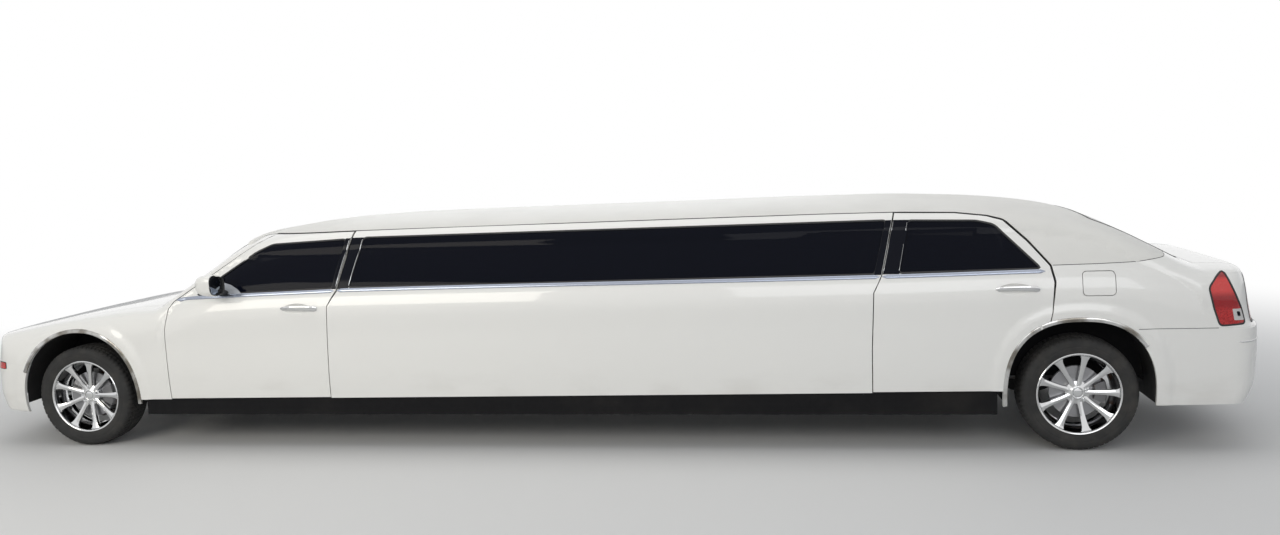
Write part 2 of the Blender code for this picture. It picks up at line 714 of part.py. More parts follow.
def grille_prism(grow=0.0):
    return prism(grown(rounded(grille_outline, 0.04), grow), "x", FRONT - 1.0, GRILLE_BACK)


grille = common(duplicate(shell), grille_prism())
hole = prism(rounded(grown(grille_outline, -GRILLE_RIM), 0.02), "x", FRONT - 1.0, GRILLE_BACK + 0.01)
BAR_STEP = (GRILLE_HALF_HIGH - 0.005) / 5
bars = None
for i in range(9):
    y = (i - 4) * BAR_STEP
    bar = box((FRONT - 0.850, y - 0.006, GRILLE_BOTTOM + 0.01), (FRONT - 0.815, y + 0.006, GRILLE_TOP - 0.01))
    bars = join(bars, bar) if bars else bar
for i in range(4):
    z = GRILLE_BOTTOM + GRILLE_RIM + 0.055 * (i + 1)
    bars = join(bars, box((FRONT - 0.848, -GRILLE_HALF_HIGH, z - 0.006), (FRONT - 0.817, GRILLE_HALF_HIGH, z + 0.006)))
bars = common(bars, prism(rounded(grown(grille_outline, -GRILLE_RIM + 0.004), 0.02), "x", FRONT - 1.0, GRILLE_BACK))
grille = join(cut(grille, hole), bars)
finish(grille, "grille", "chrome")

# Front bumper
front_bumper_outline = [
    (FRONT - 0.30, 0.24), (FRONT - 0.30, BUMPER_TOP_FRONT), (FRONT - 0.62, BUMPER_TOP_FRONT + 0.02),
    (FRONT - 1.0, BUMPER_TOP_FRONT + 0.02), (FRONT - 1.0, 0.285), (FRONT - 0.72, 0.300), (FRONT - 0.60, 0.270),
]
bumper = common(duplicate(shell), side_prism(front_bumper_outline, -OUTSIDE, OUTSIDE))
nose_band = common(
    duplicate(shell), box((FRONT - 1.0, SEAM - LAMP_INNER, 0.56), (FRONT - 0.60, LAMP_INNER - SEAM, NOSE_TOP))
)
bumper = join(bumper, nose_band)
bumper = cut(bumper, grille_prism(SEAM), side_prism(arch(FRONT, ARCH_SQUARE_FRONT), -OUTSIDE, OUTSIDE))
intake_outline = rounded([(-0.42, 0.325), (0.42, 0.325), (0.42, 0.385), (-0.42, 0.385)], 0.02)
bumper = cut(bumper, prism(intake_outline, "x", FRONT - 1.0, FRONT - 0.6))
finish(bumper, "front_bumper", "white_paint")

# Front fenders
fender_outline = [
    (FRONT - 1.0, 1.30), (FRONT - 1.0, BUMPER_TOP_FRONT + 0.0203), (FRONT - 0.62, BUMPER_TOP_FRONT + 0.0203),
    (FRONT - 0.30, BUMPER_TOP_FRONT + SEAM), (FRONT - 0.10, 0.45), (FRONT + 0.20, skirt(FRONT + 0.20)),
    (FRONT + 0.80, skirt(FRONT + 0.80)), (FRONT + 0.80, 1.0747), (FRONT + 0.720, 1.0300),
    (COWL_X + LID_GAP - SEAM, 0.9850), (COWL_X + LID_GAP - SEAM, 1.30),
]
fender = common(duplicate(shell), side_prism(fender_outline, -OUTSIDE, -BONNET_HALF - LID_GAP))
nose_corner = common(
    duplicate(shell), box((FRONT - 1.0, -BONNET_HALF - LID_GAP - 0.02, 0.6203), (FRONT - 0.5, -LAMP_INNER, 0.7500))
)
fender = join(fender, nose_corner)
fender = cut(fender, head_lamp_prism(SEAM), side_prism(arch(FRONT, ARCH_SQUARE_FRONT)), *door_cutters())
pair(fender, "front_fender", "white_paint")

# Rear quarters, fuel door, tail lamps
tail_lamp_outline = [
    (REAR + 0.800, BUMPER_TOP_REAR + SEAM), (REAR + 0.765, 0.980), (REAR + 0.790, 1.070), (REAR + 0.840, 1.110),
    (REAR + 1.40, 1.110), (REAR + 1.40, BUMPER_TOP_REAR + SEAM),
]
TAIL_LAMP_INNER = LID_HALF + LID_GAP
quarter_outline = [
    (REAR - 0.240, 0.700), (REAR - 0.240, 1.20), (REAR - 0.165, 1.1807), (REAR + 0.120, 1.1847),
    (REAR + 0.340, 1.1907), (REAR + 0.500, 1.2147), (REAR + 0.6203, 1.2597), (REAR + 0.6203, 1.50),
    (REAR + 1.40, 1.50), (REAR + 1.40, BUMPER_TOP_REAR + SEAM), (REAR + 0.28, BUMPER_TOP_REAR + SEAM),
    (REAR + 0.24, 0.700),
]
fuel_outline = rounded([
    (REAR + 0.010, 0.995), (REAR + 0.200, 0.995), (REAR + 0.200, 1.140), (REAR + 0.010, 1.140),
], 0.028, 4)
FUEL_BACK = -HALF_WIDTH + 0.050
quarter = common(duplicate(shell), side_prism(quarter_outline, -OUTSIDE, -LID_HALF - LID_GAP))
quarter = cut(
    quarter,
    box((REAR + 0.40, -LID_HALF - 0.0453, 1.05), (LID_X - LID_GAP + SEAM, 0, 1.40)),
    side_prism(grown(tail_lamp_outline, SEAM), -OUTSIDE, -TAIL_LAMP_INNER + 0.05),
    side_prism(arch(REAR, ARCH_SQUARE_REAR)),
    *door_cutters(),
)
other_quarter = mirrored(quarter)
fuel_door = common(
    body_form(0, 0, 0, 0, GROUND_CLEARANCE), side_prism(fuel_outline, -OUTSIDE, FUEL_BACK)
)
quarter = cut(quarter, side_prism(grown(fuel_outline, 0.005), -OUTSIDE, FUEL_BACK + 0.008))
finish(quarter, "rear_quarter_left", "white_paint")
finish(other_quarter, "rear_quarter_right", "white_paint")
fuel_hinge = pivot("fuel_door_hinge", (REAR + 0.010, -HALF_WIDTH + 0.008, 1.0675))
fuel_door = join(fuel_door, box((REAR + 0.0053, FUEL_BACK - 0.012, 1.050), (REAR + 0.030, FUEL_BACK - 0.004, 1.085)))
finish(fuel_door, "fuel_door", "white_paint", fuel_hinge)

tail_lamp = common(duplicate(shell), side_prism(tail_lamp_outline, -OUTSIDE, -TAIL_LAMP_INNER))
pair(tail_lamp, "tail_lamp", "lamp_red")

# Boot lid, which turns down over the tail
boot_lid = common(
    duplicate(shell), box((LID_X, -LID_HALF, BUMPER_TOP_REAR + LID_GAP), (REAR + 1.40, LID_HALF, 1.40))
)
boot_hinge = pivot("boot_lid_hinge", (LID_X, 0, top_height(LID_X)))
boot_lid = join(boot_lid, *[
    box((LID_X - LID_GAP + SEAM, y - 0.03, 1.118), (LID_X + 0.03, y + 0.03, 1.130)) for y in (-0.45, 0.45)
])
finish(boot_lid, "boot_lid", "white_paint", boot_hinge)

# Rear bumper
rear_bumper_outline = [
    (REAR + 0.24, 0.30), (REAR + 0.24, 0.70), (REAR + 0.28, BUMPER_TOP_REAR), (REAR + 1.40, BUMPER_TOP_REAR),
    (REAR + 1.40, 0.310), (REAR + 0.60, 0.300),
]
rear_bumper = common(duplicate(shell), side_prism(rear_bumper_outline, -OUTSIDE, OUTSIDE))
rear_bumper = cut(rear_bumper, side_prism(arch(REAR, ARCH_SQUARE_REAR), -OUTSIDE, OUTSIDE))
finish(rear_bumper, "rear_bumper", "white_paint")

# Underbody: floor, sills, rails, wheelhouses and boot floor
HOUSE_REAR = HALF_TRACK - TYRE_WIDTH / 2 - 0.040  # inner side of a rear wheelhouse
HOUSE_FRONT = HALF_TRACK - 0.355  # further in, so that the wheel can steer
BOOT_HALF = HOUSE_REAR + 0.015
sill_outline = [
    (FRONT + 0.50, SKIRT_BOTTOM), (REAR - 0.50, SKIRT_BOTTOM), (REAR - 0.50, skirt(REAR - 0.5) - SEAM),
    (FRONT + 0.50, skirt(FRONT + 0.5) - SEAM),
]
underbody = side_prism(sill_outline, -HALF_WIDTH + 0.025, -HALF_WIDTH + 0.12)
underbody = join(
    underbody,
    side_prism(sill_outline, HALF_WIDTH - 0.12, HALF_WIDTH - 0.025),
    box((FRONT + 0.50, -HALF_WIDTH + 0.10, FLOOR_TOP - 0.05), (REAR - 0.50, HALF_WIDTH - 0.10, FLOOR_TOP)),
    box((REAR - 0.56, -BOOT_HALF, FLOOR_TOP - 0.05), (REAR - 0.49, BOOT_HALF, 0.56)),
    box((REAR - 0.56, -BOOT_HALF, 0.52), (REAR + 0.50, BOOT_HALF, 0.56)),
    box((REAR + 0.44, -BOOT_HALF, 0.40), (REAR + 0.50, BOOT_HALF, 0.56)),
    box((REAR + 0.44, -BOOT_HALF, 0.40), (REAR + 1.02, BOOT_HALF, 0.44)),
)
RAIL_Y = HOUSE_FRONT - 0.05
underbody = join(underbody, *[
    box((FRONT - 0.72, y - 0.05, 0.36), (FRONT + 0.56, y + 0.05, 0.46)) for y in (-RAIL_Y, RAIL_Y)
])
underbody = join(
    underbody,
    box((FRONT + 0.50, -RAIL_Y - 0.06, FLOOR_TOP - 0.05), (FRONT + 0.56, RAIL_Y + 0.06, 0.46)),
    box((FRONT - 0.74, -RAIL_Y - 0.06, 0.33), (FRONT - 0.66, RAIL_Y + 0.06, 0.49)),
)


def wheelhouse(axle, inner, square):
    """A liner over a wheel: a ring round the arch, closed on its inner side."""
    outline = arch(axle, square, 0.012)
    ring = prism(grown(outline, 0.012), "y", -HALF_WIDTH + 0.14, inner)
    hollow = prism(outline, "y", -HALF_WIDTH, inner - 0.012)
    return ring, hollow


rear_liner, rear_hollow = wheelhouse(REAR, -HOUSE_REAR, ARCH_SQUARE_REAR)
liner = cut(rear_liner, rear_hollow, box((REAR - 1, -1, -0.1), (REAR + 1, 0, FLOOR_TOP + 0.12)))
other_liner = mirrored(liner)
underbody = join(underbody, liner, other_liner)
front_liner, front_hollow = wheelhouse(FRONT, -HOUSE_FRONT, ARCH_SQUARE_FRONT)
liner = cut(
    front_liner, front_hollow, box((FRONT - 1, -1, -0.1), (FRONT + 1, 0, 0.40)),
    box((FRONT - 0.12, -HOUSE_FRONT - 0.17, 0.30), (FRONT + 0.12, 0, 0.60)),
)
other_liner = mirrored(liner)
underbody = join(underbody, liner, other_liner)
finish(underbody, "underbody", "black_plastic")

# Wheels
WHEEL_SIDES = 28
TREAD_CORNER = TYRE_RADIUS / math.cos(math.pi / WHEEL_SIDES)
HALF_TYRE = TYRE_WIDTH / 2
tyre_profile = [
    (HALF_TYRE - 0.0205, BEAD_RADIUS + SEAM), (HALF_TYRE - 0.0155, RIM_RADIUS + 0.0005),
    (HALF_TYRE - 0.0080, RIM_RADIUS + 0.003), (HALF_TYRE, RIM_RADIUS + 0.030), (HALF_TYRE - 0.0120, TYRE_RADIUS - 0.0145),
    (HALF_TYRE - 0.0320, TREAD_CORNER), (0.0, TREAD_CORNER),
]
rim_half = [
    (HALF_TYRE - 0.0202, BEAD_RADIUS), (HALF_TYRE - 0.0150, RIM_RADIUS), (HALF_TYRE - 0.0020, RIM_RADIUS),
    (HALF_TYRE - 0.0040, RIM_RADIUS - 0.014), (HALF_TYRE - 0.0250, BEAD_RADIUS - 0.014),
]


def both_sides(profile):
    return [(-y, r) for y, r in reversed(profile) if y > 0] + profile


def spoke(index, centre, outward):
    """A spoke from the hub to the barrel, dished in towards the hub, drawn pointing up and then turned."""
    near, far = centre[1] + outward * 0.066, centre[1] + outward * 0.100
    deep = outward * 0.030
    rings = []
    for radius, half, face, depth in ((0.040, 0.016, near, deep), (BEAD_RADIUS - 0.010, 0.020, far, deep)):
        rings.append([
            (-half, face - depth, radius), (half, face - depth, radius), (half * 0.7, face, radius), (-half * 0.7, face, radius),
        ])
    turn = Matrix.Rotation(2 * math.pi * index / SPOKES + SPOKE_START, 3, "Y")
    placed = []
    for ring in rings:
        points = []
        for x, y, z in ring:
            p = turn @ Vector((x, 0, z))
            points.append((centre[0] + p.x, y, centre[2] + p.z))
        placed.append(points)
    return loft(placed, "spoke")


def make_rim(centre, outward):
    rim = turned(both_sides(rim_half), centre, WHEEL_SIDES, "rim")
    hub = tube(
        (centre[0], centre[1] + outward * 0.078, centre[2]), (centre[0], centre[1] - outward * HUB_FACE, centre[2]), 0.058, 18
    )
    return join(rim, hub, *[spoke(i, centre, outward) for i in range(SPOKES)])


knuckles = {}
for side, direction in (("left", -1), ("right", 1)):
    king = pivot(f"steering_{side}", (FRONT, direction * KINGPIN_Y, TYRE_RADIUS))
    knuckles[side] = king
    hub_y = direction * (HALF_TRACK - HUB_FACE - SEAM)
    post = box(
        (FRONT - 0.030, min(direction * (KINGPIN_Y + 0.012), direction * (KINGPIN_Y - 0.045)), 0.215),
        (FRONT + 0.030, max(direction * (KINGPIN_Y + 0.012), direction * (KINGPIN_Y - 0.045)), 0.515),
    )
    flange = tube((FRONT, direction * (KINGPIN_Y - 0.02), TYRE_RADIUS), (FRONT, hub_y, TYRE_RADIUS), 0.066, 18)
    arm = box(
        (FRONT + 0.02, min(direction * (KINGPIN_Y - 0.005), direction * (KINGPIN_Y - 0.045)), 0.250),
        (FRONT + 0.130, max(direction * (KINGPIN_Y - 0.005), direction * (KINGPIN_Y - 0.045)), 0.275),
    )
    finish(join(post, flange, arm), f"knuckle_{side}", "cast_metal", king)
    for axle_name, axle, carrier in (("front", FRONT, king), ("rear", REAR, None)):
        centre = (axle, direction * HALF_TRACK, TYRE_RADIUS)
        spin = pivot(f"wheel_{axle_name}_{side}_axis", centre, carrier)
        tyre = turned(both_sides(tyre_profile), centre, WHEEL_SIDES, "tyre")
        finish(tyre, f"tyre_{axle_name}_{side}", "tyre_rubber", spin)
        finish(make_rim(centre, direction), f"rim_{axle_name}_{side}", "chrome", spin)

# Front suspension: a cross-member with a lower and an upper arm to each knuckle, and a tower for the upper one
TOWER_Y = KINGPIN_Y - 0.45
CROSS_HALF = KINGPIN_Y - 0.32
front_suspension = box((FRONT - 0.10, -CROSS_HALF, 0.255), (FRONT + 0.10, CROSS_HALF, 0.3597))
for direction in (-1, 1):
    for low, high, reach, root in ((0.185, 0.2147, 0.10, CROSS_HALF - 0.06), (0.5153, 0.540, 0.05, TOWER_Y)):
        arm = prism(
            [
                (FRONT - reach, direction * root), (FRONT + reach, direction * root),
                (FRONT + 0.025, direction * (KINGPIN_Y + 0.005)), (FRONT - 0.025, direction * (KINGPIN_Y + 0.005)),
            ], "z", low, high,
        )
        front_suspension = join(front_suspension, arm)
    front_suspension = join(
        front_suspension,
        box(
            (FRONT - 0.04, direction * (CROSS_HALF - 0.03) - 0.03, 0.19),
            (FRONT + 0.04, direction * (CROSS_HALF - 0.03) + 0.03, 0.26),
        ),
        box((FRONT - 0.05, direction * TOWER_Y - 0.02, 0.30), (FRONT + 0.05, direction * TOWER_Y + 0.02, 0.535)),
    )
finish(front_suspension, "front_suspension", "cast_metal")

# Rear suspension: final drive, half shafts, hub carriers and lower arms on a cross-member
rear_suspension = box((REAR - 0.14, -0.15, 0.26), (REAR + 0.15, 0.15, 0.46))
carrier_face = HALF_TRACK - HUB_FACE - SEAM
for direction in (-1, 1):
    inner, outer = direction * (carrier_face - 0.11), direction * carrier_face
    rear_suspension = join(
        rear_suspension,
        tube((REAR, direction * 0.14, TYRE_RADIUS), (REAR, outer, TYRE_RADIUS), 0.032, 12),
        tube((REAR, inner, TYRE_RADIUS), (REAR, direction * (carrier_face - 0.01), TYRE_RADIUS), 0.075, 18),
        box(
            (REAR - 0.10, min(0, direction * (HOUSE_REAR - 0.025)), 0.455),
            (REAR - 0.02, max(0, direction * (HOUSE_REAR - 0.025)), 0.5197),
        ),
        box(
            (REAR - 0.03, min(direction * 0.10, inner + direction * 0.057), 0.265),
            (REAR + 0.03, max(direction * 0.10, inner + direction * 0.057), 0.300),
        ),
    )
finish(rear_suspension, "rear_suspension", "cast_metal")

# Engine and gearbox as one block on the front cross-member
engine = box((FRONT - 0.34, -0.24, 0.36), (FRONT + 0.32, 0.24, 0.80))
engine = join(engine, box((FRONT + 0.30, -0.15, 0.36), (FRONT + 0.49, 0.15, 0.60)))
finish(engine, "engine", "cast_metal")

# Exhaust: a pipe under the floor, a silencer and two tail pipes
PIPE_Z = FLOOR_TOP - 0.05 - 0.035 - SEAM
exhaust = tube((FRONT + 0.75, 0.20, PIPE_Z), (REAR - 0.62, 0.20, PIPE_Z), 0.035, 12)
exhaust = join(exhaust, box((REAR + 0.52, -0.42, 0.300), (REAR + 0.86, 0.42, 0.3997)))
for direction in (-1, 1):
    exhaust = join(exhaust, tube((REAR + 0.80, direction * 0.36, 0.345), (REAR + 1.02, direction * 0.36, 0.340), 0.034, 12))
over = [
    (REAR - 0.70, 0.20, PIPE_Z), (REAR - 0.30, 0.30, PIPE_Z), (REAR + 0.25, 0.36, PIPE_Z), (REAR + 0.60, 0.36, 0.345),
]
for first, second in zip(over, over[1:]):
    exhaust = join(exhaust, tube(first, second, 0.030, 12))
finish(exhaust, "exhaust", "cast_metal")

# Cabin: dashboard with the steering wheel, front seats, partition and the saloon's bench
DASH_X = BULKHEAD_X + 0.03 + SEAM
dash_outline = [
    (DASH_X, 0.62), (DASH_X, 0.955), (DASH_X + 0.10, 0.985), (DASH_X + 0.30, 0.960), (DASH_X + 0.36, 0.900),
    (DASH_X + 0.30, 0.70), (DASH_X + 0.18, 0.62),
]
dashboard = prism(dash_outline, "y", 0.18 - HALF_WIDTH, HALF_WIDTH - 0.18)
WHEEL_CENTRE = Vector((DASH_X + 0.52, -0.38, 0.92))
column = tube((DASH_X + 0.25, -0.38, 0.835), tuple(WHEEL_CENTRE), 0.030, 12)
ring_points = 24
ring = turned([(0.018 * math.cos(a), 0.185 + 0.016 * math.sin(a)) for a in angles(6)], (0, 0, 0), ring_points)
cross = join(
    box((-0.185, -0.010, -0.014), (0.185, 0.010, 0.014)), box((-0.014, -0.010, -0.185), (0.014, 0.010, 0.0)),
    tube((0, -0.03, 0), (0, 0.02, 0), 0.055, 14),
)
steering_wheel = join(ring, cross)
lean = Matrix.Rotation(math.radians(-62), 4, "Y")
upright = Matrix.Rotation(math.radians(90), 4, "X") @ Matrix.Rotation(math.radians(90), 4, "Y")
steering_wheel.data.transform(Matrix.Translation(WHEEL_CENTRE) @ lean @ upright)
dashboard = join(dashboard, column, steering_wheel)
finish(dashboard, "dashboard", "black_plastic")


def seat(x, y, width, reach=0.52):
    """A seat seen from the side, as wide as given: cushion, back and the plinth that it stands on."""
    side = [
        (x, FLOOR_TOP + SEAM), (x, 0.44), (x - 0.03, 0.50), (x, 0.545), (x + 0.42, 0.50), (x + reach - 0.02, 0.60),
        (x + reach + 0.13, 1.02), (x + reach + 0.17, 1.22), (x + reach + 0.24, 1.22), (x + reach + 0.25, 1.02),
        (x + reach + 0.15, 0.48), (x + reach + 0.10, FLOOR_TOP + SEAM),
    ]
    return prism(rounded(side, 0.035, 2), "y", y - width / 2, y + width / 2)


FRONT_SEAT_X = FRONT + 1.24
front_seats = join(
    seat(FRONT_SEAT_X, -0.38, 0.50), seat(FRONT_SEAT_X, 0.38, 0.50),
    box((FRONT_SEAT_X + 0.05, -0.16, FLOOR_TOP + SEAM), (FRONT_SEAT_X + 0.50, 0.16, 0.52)),
)
finish(front_seats, "front_seats", "grey_leather")

PARTITION_X = FRONT + 2.10
partition_half = [
    (HALF_WIDTH - 0.14, FLOOR_TOP + SEAM), (HALF_WIDTH - 0.14, 1.00), (HALF_WIDTH - 0.28, 1.30), (HALF_WIDTH - 0.34, 1.43),
]
partition_outline = partition_half + [(-y, z) for y, z in reversed(partition_half)]
partition = prism(partition_outline, "x", PARTITION_X, PARTITION_X + 0.05)
partition = cut(partition, box((PARTITION_X - 0.1, 0.44 - HALF_WIDTH, 1.00), (PARTITION_X + 0.2, HALF_WIDTH - 0.44, 1.34)))
finish(partition, "partition", "grey_leather")

REAR_SEAT_X = REAR - 1.19
SIDE_WALL = HALF_WIDTH - 0.16
side_bench_outline = [
    (SIDE_WALL, FLOOR_TOP + SEAM), (SIDE_WALL - 0.48, FLOOR_TOP + SEAM), (SIDE_WALL - 0.48, 0.46),
    (SIDE_WALL - 0.50, 0.50), (SIDE_WALL - 0.47, 0.54), (SIDE_WALL - 0.16, 0.52), (SIDE_WALL - 0.10, 0.60),
    (SIDE_WALL - 0.08, 0.90), (SIDE_WALL, 0.90),
]
bench = join(
    seat(REAR_SEAT_X, 0, 2 * SIDE_WALL - 0.32, 0.46),
    prism(side_bench_outline, "x", PARTITION_X + 0.70, REAR_SEAT_X + 0.30),
)
finish(bench, "saloon_bench", "grey_leather")

# Door mirrors on their arms
mirror_rows = ((0.0, 0.055, 0.050), (0.02, 0.085, 0.072), (0.07, 0.090, 0.078), (0.11, 0.088, 0.075))
MIRROR_X = FRONT + 1.03
MIRROR_Y = -HALF_WIDTH - 0.075
MIRROR_Z = 1.165


def squared(value):
    return math.copysign(abs(value) ** 0.7, value)


def mirror_shell():
    rings = []
    for back, half, rise in mirror_rows:
        rings.append([
            (MIRROR_X + back, MIRROR_Y + half * squared(math.cos(a)), MIRROR_Z + rise * squared(math.sin(a))) for a in angles(16)
        ])
    mirror = loft(rings)
    arm_outline = [
        (MIRROR_Y + 0.215, 1.042), (MIRROR_Y + 0.215, 1.074), (MIRROR_Y + 0.070, 1.085), (MIRROR_Y + 0.050, 1.125),
        (MIRROR_Y - 0.015, 1.125), (MIRROR_Y - 0.015, 1.085), (MIRROR_Y + 0.045, 1.052),
    ]
    arm = prism(arm_outline, "x", MIRROR_X + 0.02, MIRROR_X + 0.09)
    return join(mirror, cut(arm, body_form(*(-SEAM,) * 4, GROUND_CLEARANCE)))


mirror = mirror_shell()
other_mirror = mirrored(mirror)
finish(mirror, "mirror_left", "white_paint", hinges["front_door_left"])
finish(other_mirror, "mirror_right", "white_paint", hinges["front_door_right"])

for helper in (shell, glass_shell):
    helper.hide_render = True
    helper.display_type = "WIRE"
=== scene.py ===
# %% [markdown]
# # A stretch limousine in Blender
# The car comes in as a finished assembly of plain solids that open, steer and roll. This lesson dresses it: smooth
# painted panels over the same form, dark glass, bright trim, wheels, lamps and a cabin. Nothing here moves or
# resizes the solids. Lengths are metres, +X runs to the tail, +Y to the car's right and the tyres stand on z = 0.

# %% Load the assembly
import math

import bmesh
import bpy
import numpy as np
from mathutils import Matrix, Vector


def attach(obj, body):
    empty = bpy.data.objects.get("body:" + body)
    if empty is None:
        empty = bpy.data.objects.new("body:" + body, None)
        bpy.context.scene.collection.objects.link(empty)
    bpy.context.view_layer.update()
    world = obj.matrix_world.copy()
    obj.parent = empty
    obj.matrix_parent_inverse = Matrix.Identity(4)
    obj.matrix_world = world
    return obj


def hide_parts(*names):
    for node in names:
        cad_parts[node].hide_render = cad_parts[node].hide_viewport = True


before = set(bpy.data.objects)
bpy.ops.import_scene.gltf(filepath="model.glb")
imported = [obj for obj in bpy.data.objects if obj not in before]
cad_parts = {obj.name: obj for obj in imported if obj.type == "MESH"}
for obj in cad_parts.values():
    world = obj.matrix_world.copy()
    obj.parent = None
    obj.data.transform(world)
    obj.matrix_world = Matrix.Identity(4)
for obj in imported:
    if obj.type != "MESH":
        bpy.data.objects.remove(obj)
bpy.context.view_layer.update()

# %% [markdown]
# The camera comes first, because every later choice is judged through it. Its place, turn and focal length were
# solved from the two wheels, the sill and the roof line in the picture. A camera looks down its own -Z axis, so its
# matrix is built from the three directions right, up and back.

# %% Camera
CAMERA_PLACE = Vector((1.5933, -7.8569, 2.0346))
CAMERA_YAW, CAMERA_PITCH, CAMERA_ROLL = 0.1526, 0.1149, -0.0379
CAMERA_LENS = 30.37

level = math.cos(CAMERA_PITCH)
ahead = Vector((-math.sin(CAMERA_YAW) * level, math.cos(CAMERA_YAW) * level, -math.sin(CAMERA_PITCH)))
level_right = ahead.cross(Vector((0, 0, 1))).normalized()
level_up = level_right.cross(ahead)
right = level_right * math.cos(CAMERA_ROLL) + level_up * math.sin(CAMERA_ROLL)
up = level_up * math.cos(CAMERA_ROLL) - level_right * math.sin(CAMERA_ROLL)
camera_data = bpy.data.cameras.new("camera")
camera_data.sensor_fit = "HORIZONTAL"
camera_data.sensor_width = 36
camera_data.lens = CAMERA_LENS
camera_data.clip_end = 200
camera = bpy.data.objects.new("camera", camera_data)
bpy.context.scene.collection.objects.link(camera)
camera.matrix_world = Matrix.Translation(CAMERA_PLACE) @ Matrix((right, up, -ahead)).transposed().to_4x4()
bpy.context.scene.camera = camera
bpy.context.scene.view_settings.view_transform = "Standard"
print("camera at", tuple(CAMERA_PLACE), "lens", CAMERA_LENS)

# %% [markdown]
# Operators act on whatever is selected, and the loaded solids are all selected now. These helpers keep that in hand:
# one clears the selection, one picks a single object, and one applies a modifier and leaves the mesh behind.

# %% Helpers for selection and modifiers
def deselect():
    if bpy.context.mode != "OBJECT":
        bpy.ops.object.mode_set(mode="OBJECT")
    bpy.ops.object.select_all(action="DESELECT")


def pick(obj):
    deselect()
    obj.select_set(True)
    bpy.context.view_layer.objects.active = obj
    return obj


def apply_modifier(obj, kind, **settings):
    pick(obj)
    modifier = obj.modifiers.new(kind.lower(), kind)
    for key, value in settings.items():
        setattr(modifier, key, value)
    bpy.ops.object.modifier_apply(modifier=modifier.name)
    return obj


CUT_TRIES = 6
HAIR = (0.00013, 0.00017, -0.00011)


def boolean(obj, cutter, operation):
    """Cuts or joins with the exact solver. If touching faces spoil a cut, the cutter moves a hair and it runs again."""
    before = obj.data.copy()
    least = max(6, 0.004 * len(before.polygons))
    for _ in range(CUT_TRIES):
        apply_modifier(obj, "BOOLEAN", operation=operation, object=cutter, solver="EXACT")
        if len(obj.data.polygons) > least:
            break
        print("a cut of", obj.name, "left", len(obj.data.polygons), "faces of", len(before.polygons))
        obj.data = before.copy()
        cutter.data.transform(Matrix.Translation(HAIR))
    bpy.data.objects.remove(cutter, do_unlink=True)
    return obj


def turn_faces_out(obj):
    """Makes every face of a closed mesh look outwards."""
    pick(obj)
    bpy.ops.object.mode_set(mode="EDIT")
    bpy.ops.mesh.select_all(action="SELECT")
    bpy.ops.mesh.normals_make_consistent(inside=False)
    bpy.ops.object.mode_set(mode="OBJECT")
    return obj


def place_points(obj, points):
    obj.data.vertices.foreach_set("co", np.asarray(points, dtype=np.float32).ravel())
    obj.data.update()
    return obj


def points_of(obj):
    points = np.empty(len(obj.data.vertices) * 3, dtype=np.float32)
    obj.data.vertices.foreach_get("co", points)
    return points.reshape(-1, 3).astype(float)


def mirror_image(obj, name):
    """A copy on the other side of the car, with its own mesh, faces turned the right way again."""
    other = obj.copy()
    other.data = obj.data.copy()
    bpy.context.scene.collection.objects.link(other)
    other.name = other.data.name = name
    bm = bmesh.new()
    bm.from_mesh(other.data)
    bmesh.ops.scale(bm, vec=(1, -1, 1), verts=bm.verts)
    bmesh.ops.reverse_faces(bm, faces=bm.faces)
    bm.to_mesh(other.data)
    bm.free()
    return other


def dress(obj, name, body, finish, stands_for=()):
    """Names a finished piece, gives it its finish and hangs it on its body."""
    obj.name = obj.data.name = name
    obj.data.materials.clear()
    obj.data.materials.append(finish.material)
    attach(obj, body)
    if stands_for:
        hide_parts(*stands_for)
    return obj


print("helpers ready")

# %% [markdown]
# Shader maths reads best as plain expressions. This small class wraps an output socket, and each operator adds the
# Math node that it stands for, so a mask can be written as `1 - noise * 0.4`.

# %% Shader arithmetic
class Wire:
    def __init__(self, tree, socket):
        self.tree = tree
        self.socket = socket

    def math(self, operation, *values):
        node = self.tree.nodes.new("ShaderNodeMath")
        node.operation = operation
        for socket, value in zip(node.inputs, values):
            if isinstance(value, Wire):
                self.tree.links.new(value.socket, socket)
            else:
                socket.default_value = value
        return Wire(self.tree, node.outputs[0])

    def __add__(self, other):
        return self.math("ADD", self, other)

    __radd__ = __add__

    def __mul__(self, other):
        return self.math("MULTIPLY", self, other)

    __rmul__ = __mul__

    def __rsub__(self, other):
        return self.math("SUBTRACT", other, self)

    def ramp(self, low, high):
        """0 below low, 1 above high, smooth between."""
        node = self.tree.nodes.new("ShaderNodeMapRange")
        node.interpolation_type = "SMOOTHSTEP"
        node.inputs["From Min"].default_value = low
        node.inputs["From Max"].default_value = high
        self.tree.links.new(self.socket, node.inputs["Value"])
        return Wire(self.tree, node.outputs["Result"])


